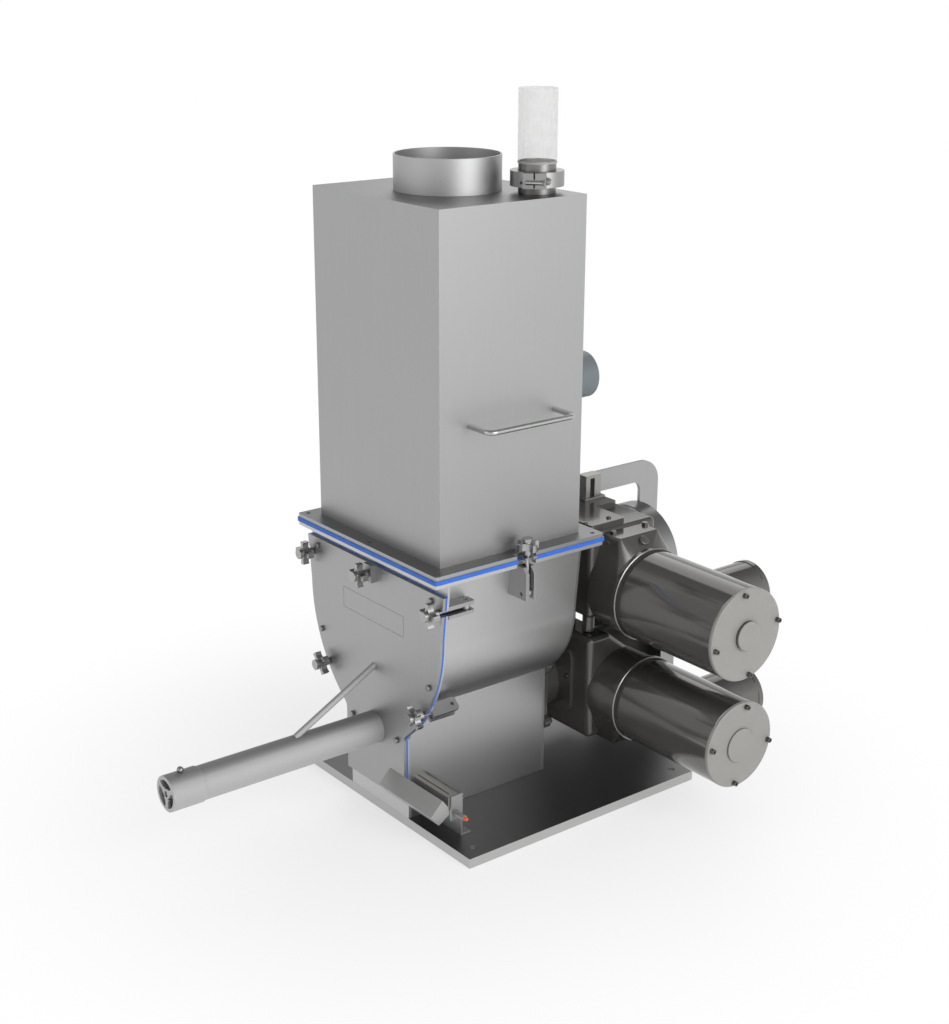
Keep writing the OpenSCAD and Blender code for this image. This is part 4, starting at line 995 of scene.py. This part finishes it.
studio = {
    "floorSize": 16.0,
    "floorDrop": 0.0005,
    "floorTone": 0.95,
    "floorRoughness": 0.7,
    "floorShine": 0.1,
    "fadeStart": 0.3,
    "fadeEnd": 1.15,
    "paleShare": 0.6,
    "ambient": 0.6,
    "skyLow": 0.05,
    "skyHigh": 0.9,
    "zenith": 0.75,
    "hoodLow": 0.15,
    "hoodHigh": 0.7,
    "hoodTone": 0.3,
}


def seesBackground(tree, place):
    path = addNode(tree, "ShaderNodeLightPath", place)
    first = addMath(tree, (place[0] + 200, place[1]), "ADD")
    both = addMath(tree, (place[0] + 380, place[1]), "ADD", use_clamp=True)
    wire(tree, [
        (path.outputs["Is Camera Ray"], first.inputs[0]),
        (path.outputs["Is Glossy Ray"], first.inputs[1]),
        (first.outputs[0], both.inputs[0]),
        (path.outputs["Is Transmission Ray"], both.inputs[1]),
    ])
    return both.outputs[0]


def buildFloor():
    half = studio["floorSize"] / 2
    mesh = bpy.data.meshes.new("studioFloor")
    mesh.from_pydata([(-half, -half, 0), (half, -half, 0), (half, half, 0), (-half, half, 0)], [],
                     [(0, 1, 2, 3)])
    floor = bpy.data.objects.new("studioFloor", mesh)
    scene.collection.objects.link(floor)
    floor.location.z = -studio["floorDrop"]
    made, tree, shader = newMaterial("paleFloor")
    shader.inputs["Base Color"].default_value = (*[studio["floorTone"]] * 3, 1.0)
    shader.inputs["Roughness"].default_value = studio["floorRoughness"]
    shader.inputs["Specular IOR Level"].default_value = studio["floorShine"]
    place = addNode(tree, "ShaderNodeTexCoord", (-900, 300))
    distance = addNode(tree, "ShaderNodeVectorMath", (-700, 300), operation="LENGTH")
    fade = addRange(tree, (-500, 300), {"From Min": studio["fadeStart"], "From Max": studio["fadeEnd"],
                                        "To Min": studio["paleShare"]}, interpolation_type="SMOOTHSTEP")
    share = addMath(tree, (-100, 300), "MULTIPLY")
    white = addNode(tree, "ShaderNodeEmission", (560, 300))
    mix = addNode(tree, "ShaderNodeMixShader", (760, 160))
    output = tree.nodes["Material Output"]
    wire(tree, [
        (place.outputs["Object"], distance.inputs[0]),
        (distance.outputs["Value"], fade.inputs["Value"]),
        (fade.outputs["Result"], share.inputs[0]),
        (seesBackground(tree, (-900, 620)), share.inputs[1]),
        (share.outputs[0], mix.inputs["Fac"]),
        (shader.outputs["BSDF"], mix.inputs[1]),
        (white.outputs["Emission"], mix.inputs[2]),
        (mix.outputs["Shader"], output.inputs["Surface"]),
    ])
    mesh.materials.append(made)


def buildWorld():
    world = bpy.data.worlds.new("studioWorld")
    scene.world = world
    world.use_nodes = True
    tree = world.node_tree
    tree.nodes.clear()
    place = addNode(tree, "ShaderNodeTexCoord", (-900, 0))
    split = addNode(tree, "ShaderNodeSeparateXYZ", (-700, 0))
    ramp = addRange(tree, (-500, 0), {"From Min": studio["skyLow"], "From Max": studio["skyHigh"],
                                      "To Min": 1.0, "To Max": studio["zenith"]})
    soft = setInputs(addNode(tree, "ShaderNodeBackground", (-200, 0)), {"Strength": studio["ambient"]})
    plain = setInputs(addNode(tree, "ShaderNodeBackground", (-200, -180)), {"Strength": 1.0})
    hood = addRange(tree, (-500, -260), {"From Min": studio["hoodLow"], "From Max": studio["hoodHigh"],
                                         "To Min": 1.0, "To Max": studio["hoodTone"]})
    mix = addNode(tree, "ShaderNodeMixShader", (60, 0))
    output = addNode(tree, "ShaderNodeOutputWorld", (260, 0))
    wire(tree, [
        (place.outputs["Generated"], split.inputs["Vector"]),
        (split.outputs["Z"], ramp.inputs["Value"]),
        (ramp.outputs["Result"], soft.inputs["Color"]),
        (split.outputs["Z"], hood.inputs["Value"]),
        (hood.outputs["Result"], plain.inputs["Color"]),
        (seesBackground(tree, (-700, 320)), mix.inputs["Fac"]),
        (soft.outputs["Background"], mix.inputs[1]),
        (plain.outputs["Background"], mix.inputs[2]),
        (mix.outputs["Shader"], output.inputs["Surface"]),
    ])


lamps = {
    "keyLamp": {"place": (4.2, 0.4, 2.2), "aim": (0.0, 0.0, 0.6), "size": 3.6, "power": 120.0},
    "frontLamp": {"place": (-0.6, -4.2, 3.0), "aim": (0.0, 0.0, 0.6), "size": 3.2, "power": 22.0},
    "backLamp": {"place": (-2.6, 3.0, 3.6), "aim": (0.0, 0.0, 0.6), "size": 3.4, "power": 45.0},
}


def buildLamps():
    for title, look in lamps.items():
        data = bpy.data.lights.new(title, "AREA")
        data.shape = "DISK"
        data.size = look["size"]
        data.energy = look["power"]
        lamp = bpy.data.objects.new(title, data)
        scene.collection.objects.link(lamp)
        lamp.location = look["place"]
        ahead = Vector(look["aim"]) - Vector(look["place"])
        lamp.rotation_euler = ahead.to_track_quat("-Z", "Y").to_euler()


cameraLook = {
    "place": (2.491589, -1.879411, 1.652252),
    "right": (0.614567, 0.788855, 0.003818),
    "up": (-0.253707, 0.193066, 0.947818),
    "lens": 58.298,
    "sensor": 36.0,
    "reach": 60.0,
}


def buildCamera():
    data = bpy.data.cameras.new("photoCamera")
    data.sensor_width = cameraLook["sensor"]
    data.lens = cameraLook["lens"]
    data.clip_end = cameraLook["reach"]
    camera = bpy.data.objects.new("photoCamera", data)
    scene.collection.objects.link(camera)
    right = Vector(cameraLook["right"])
    up = Vector(cameraLook["up"])
    back = right.cross(up)
    turn = Matrix((right, up, back)).transposed().to_4x4()
    camera.matrix_world = Matrix.Translation(cameraLook["place"]) @ turn
    scene.camera = camera


buildFloor()
buildWorld()
buildLamps()
buildCamera()
print("studio built")
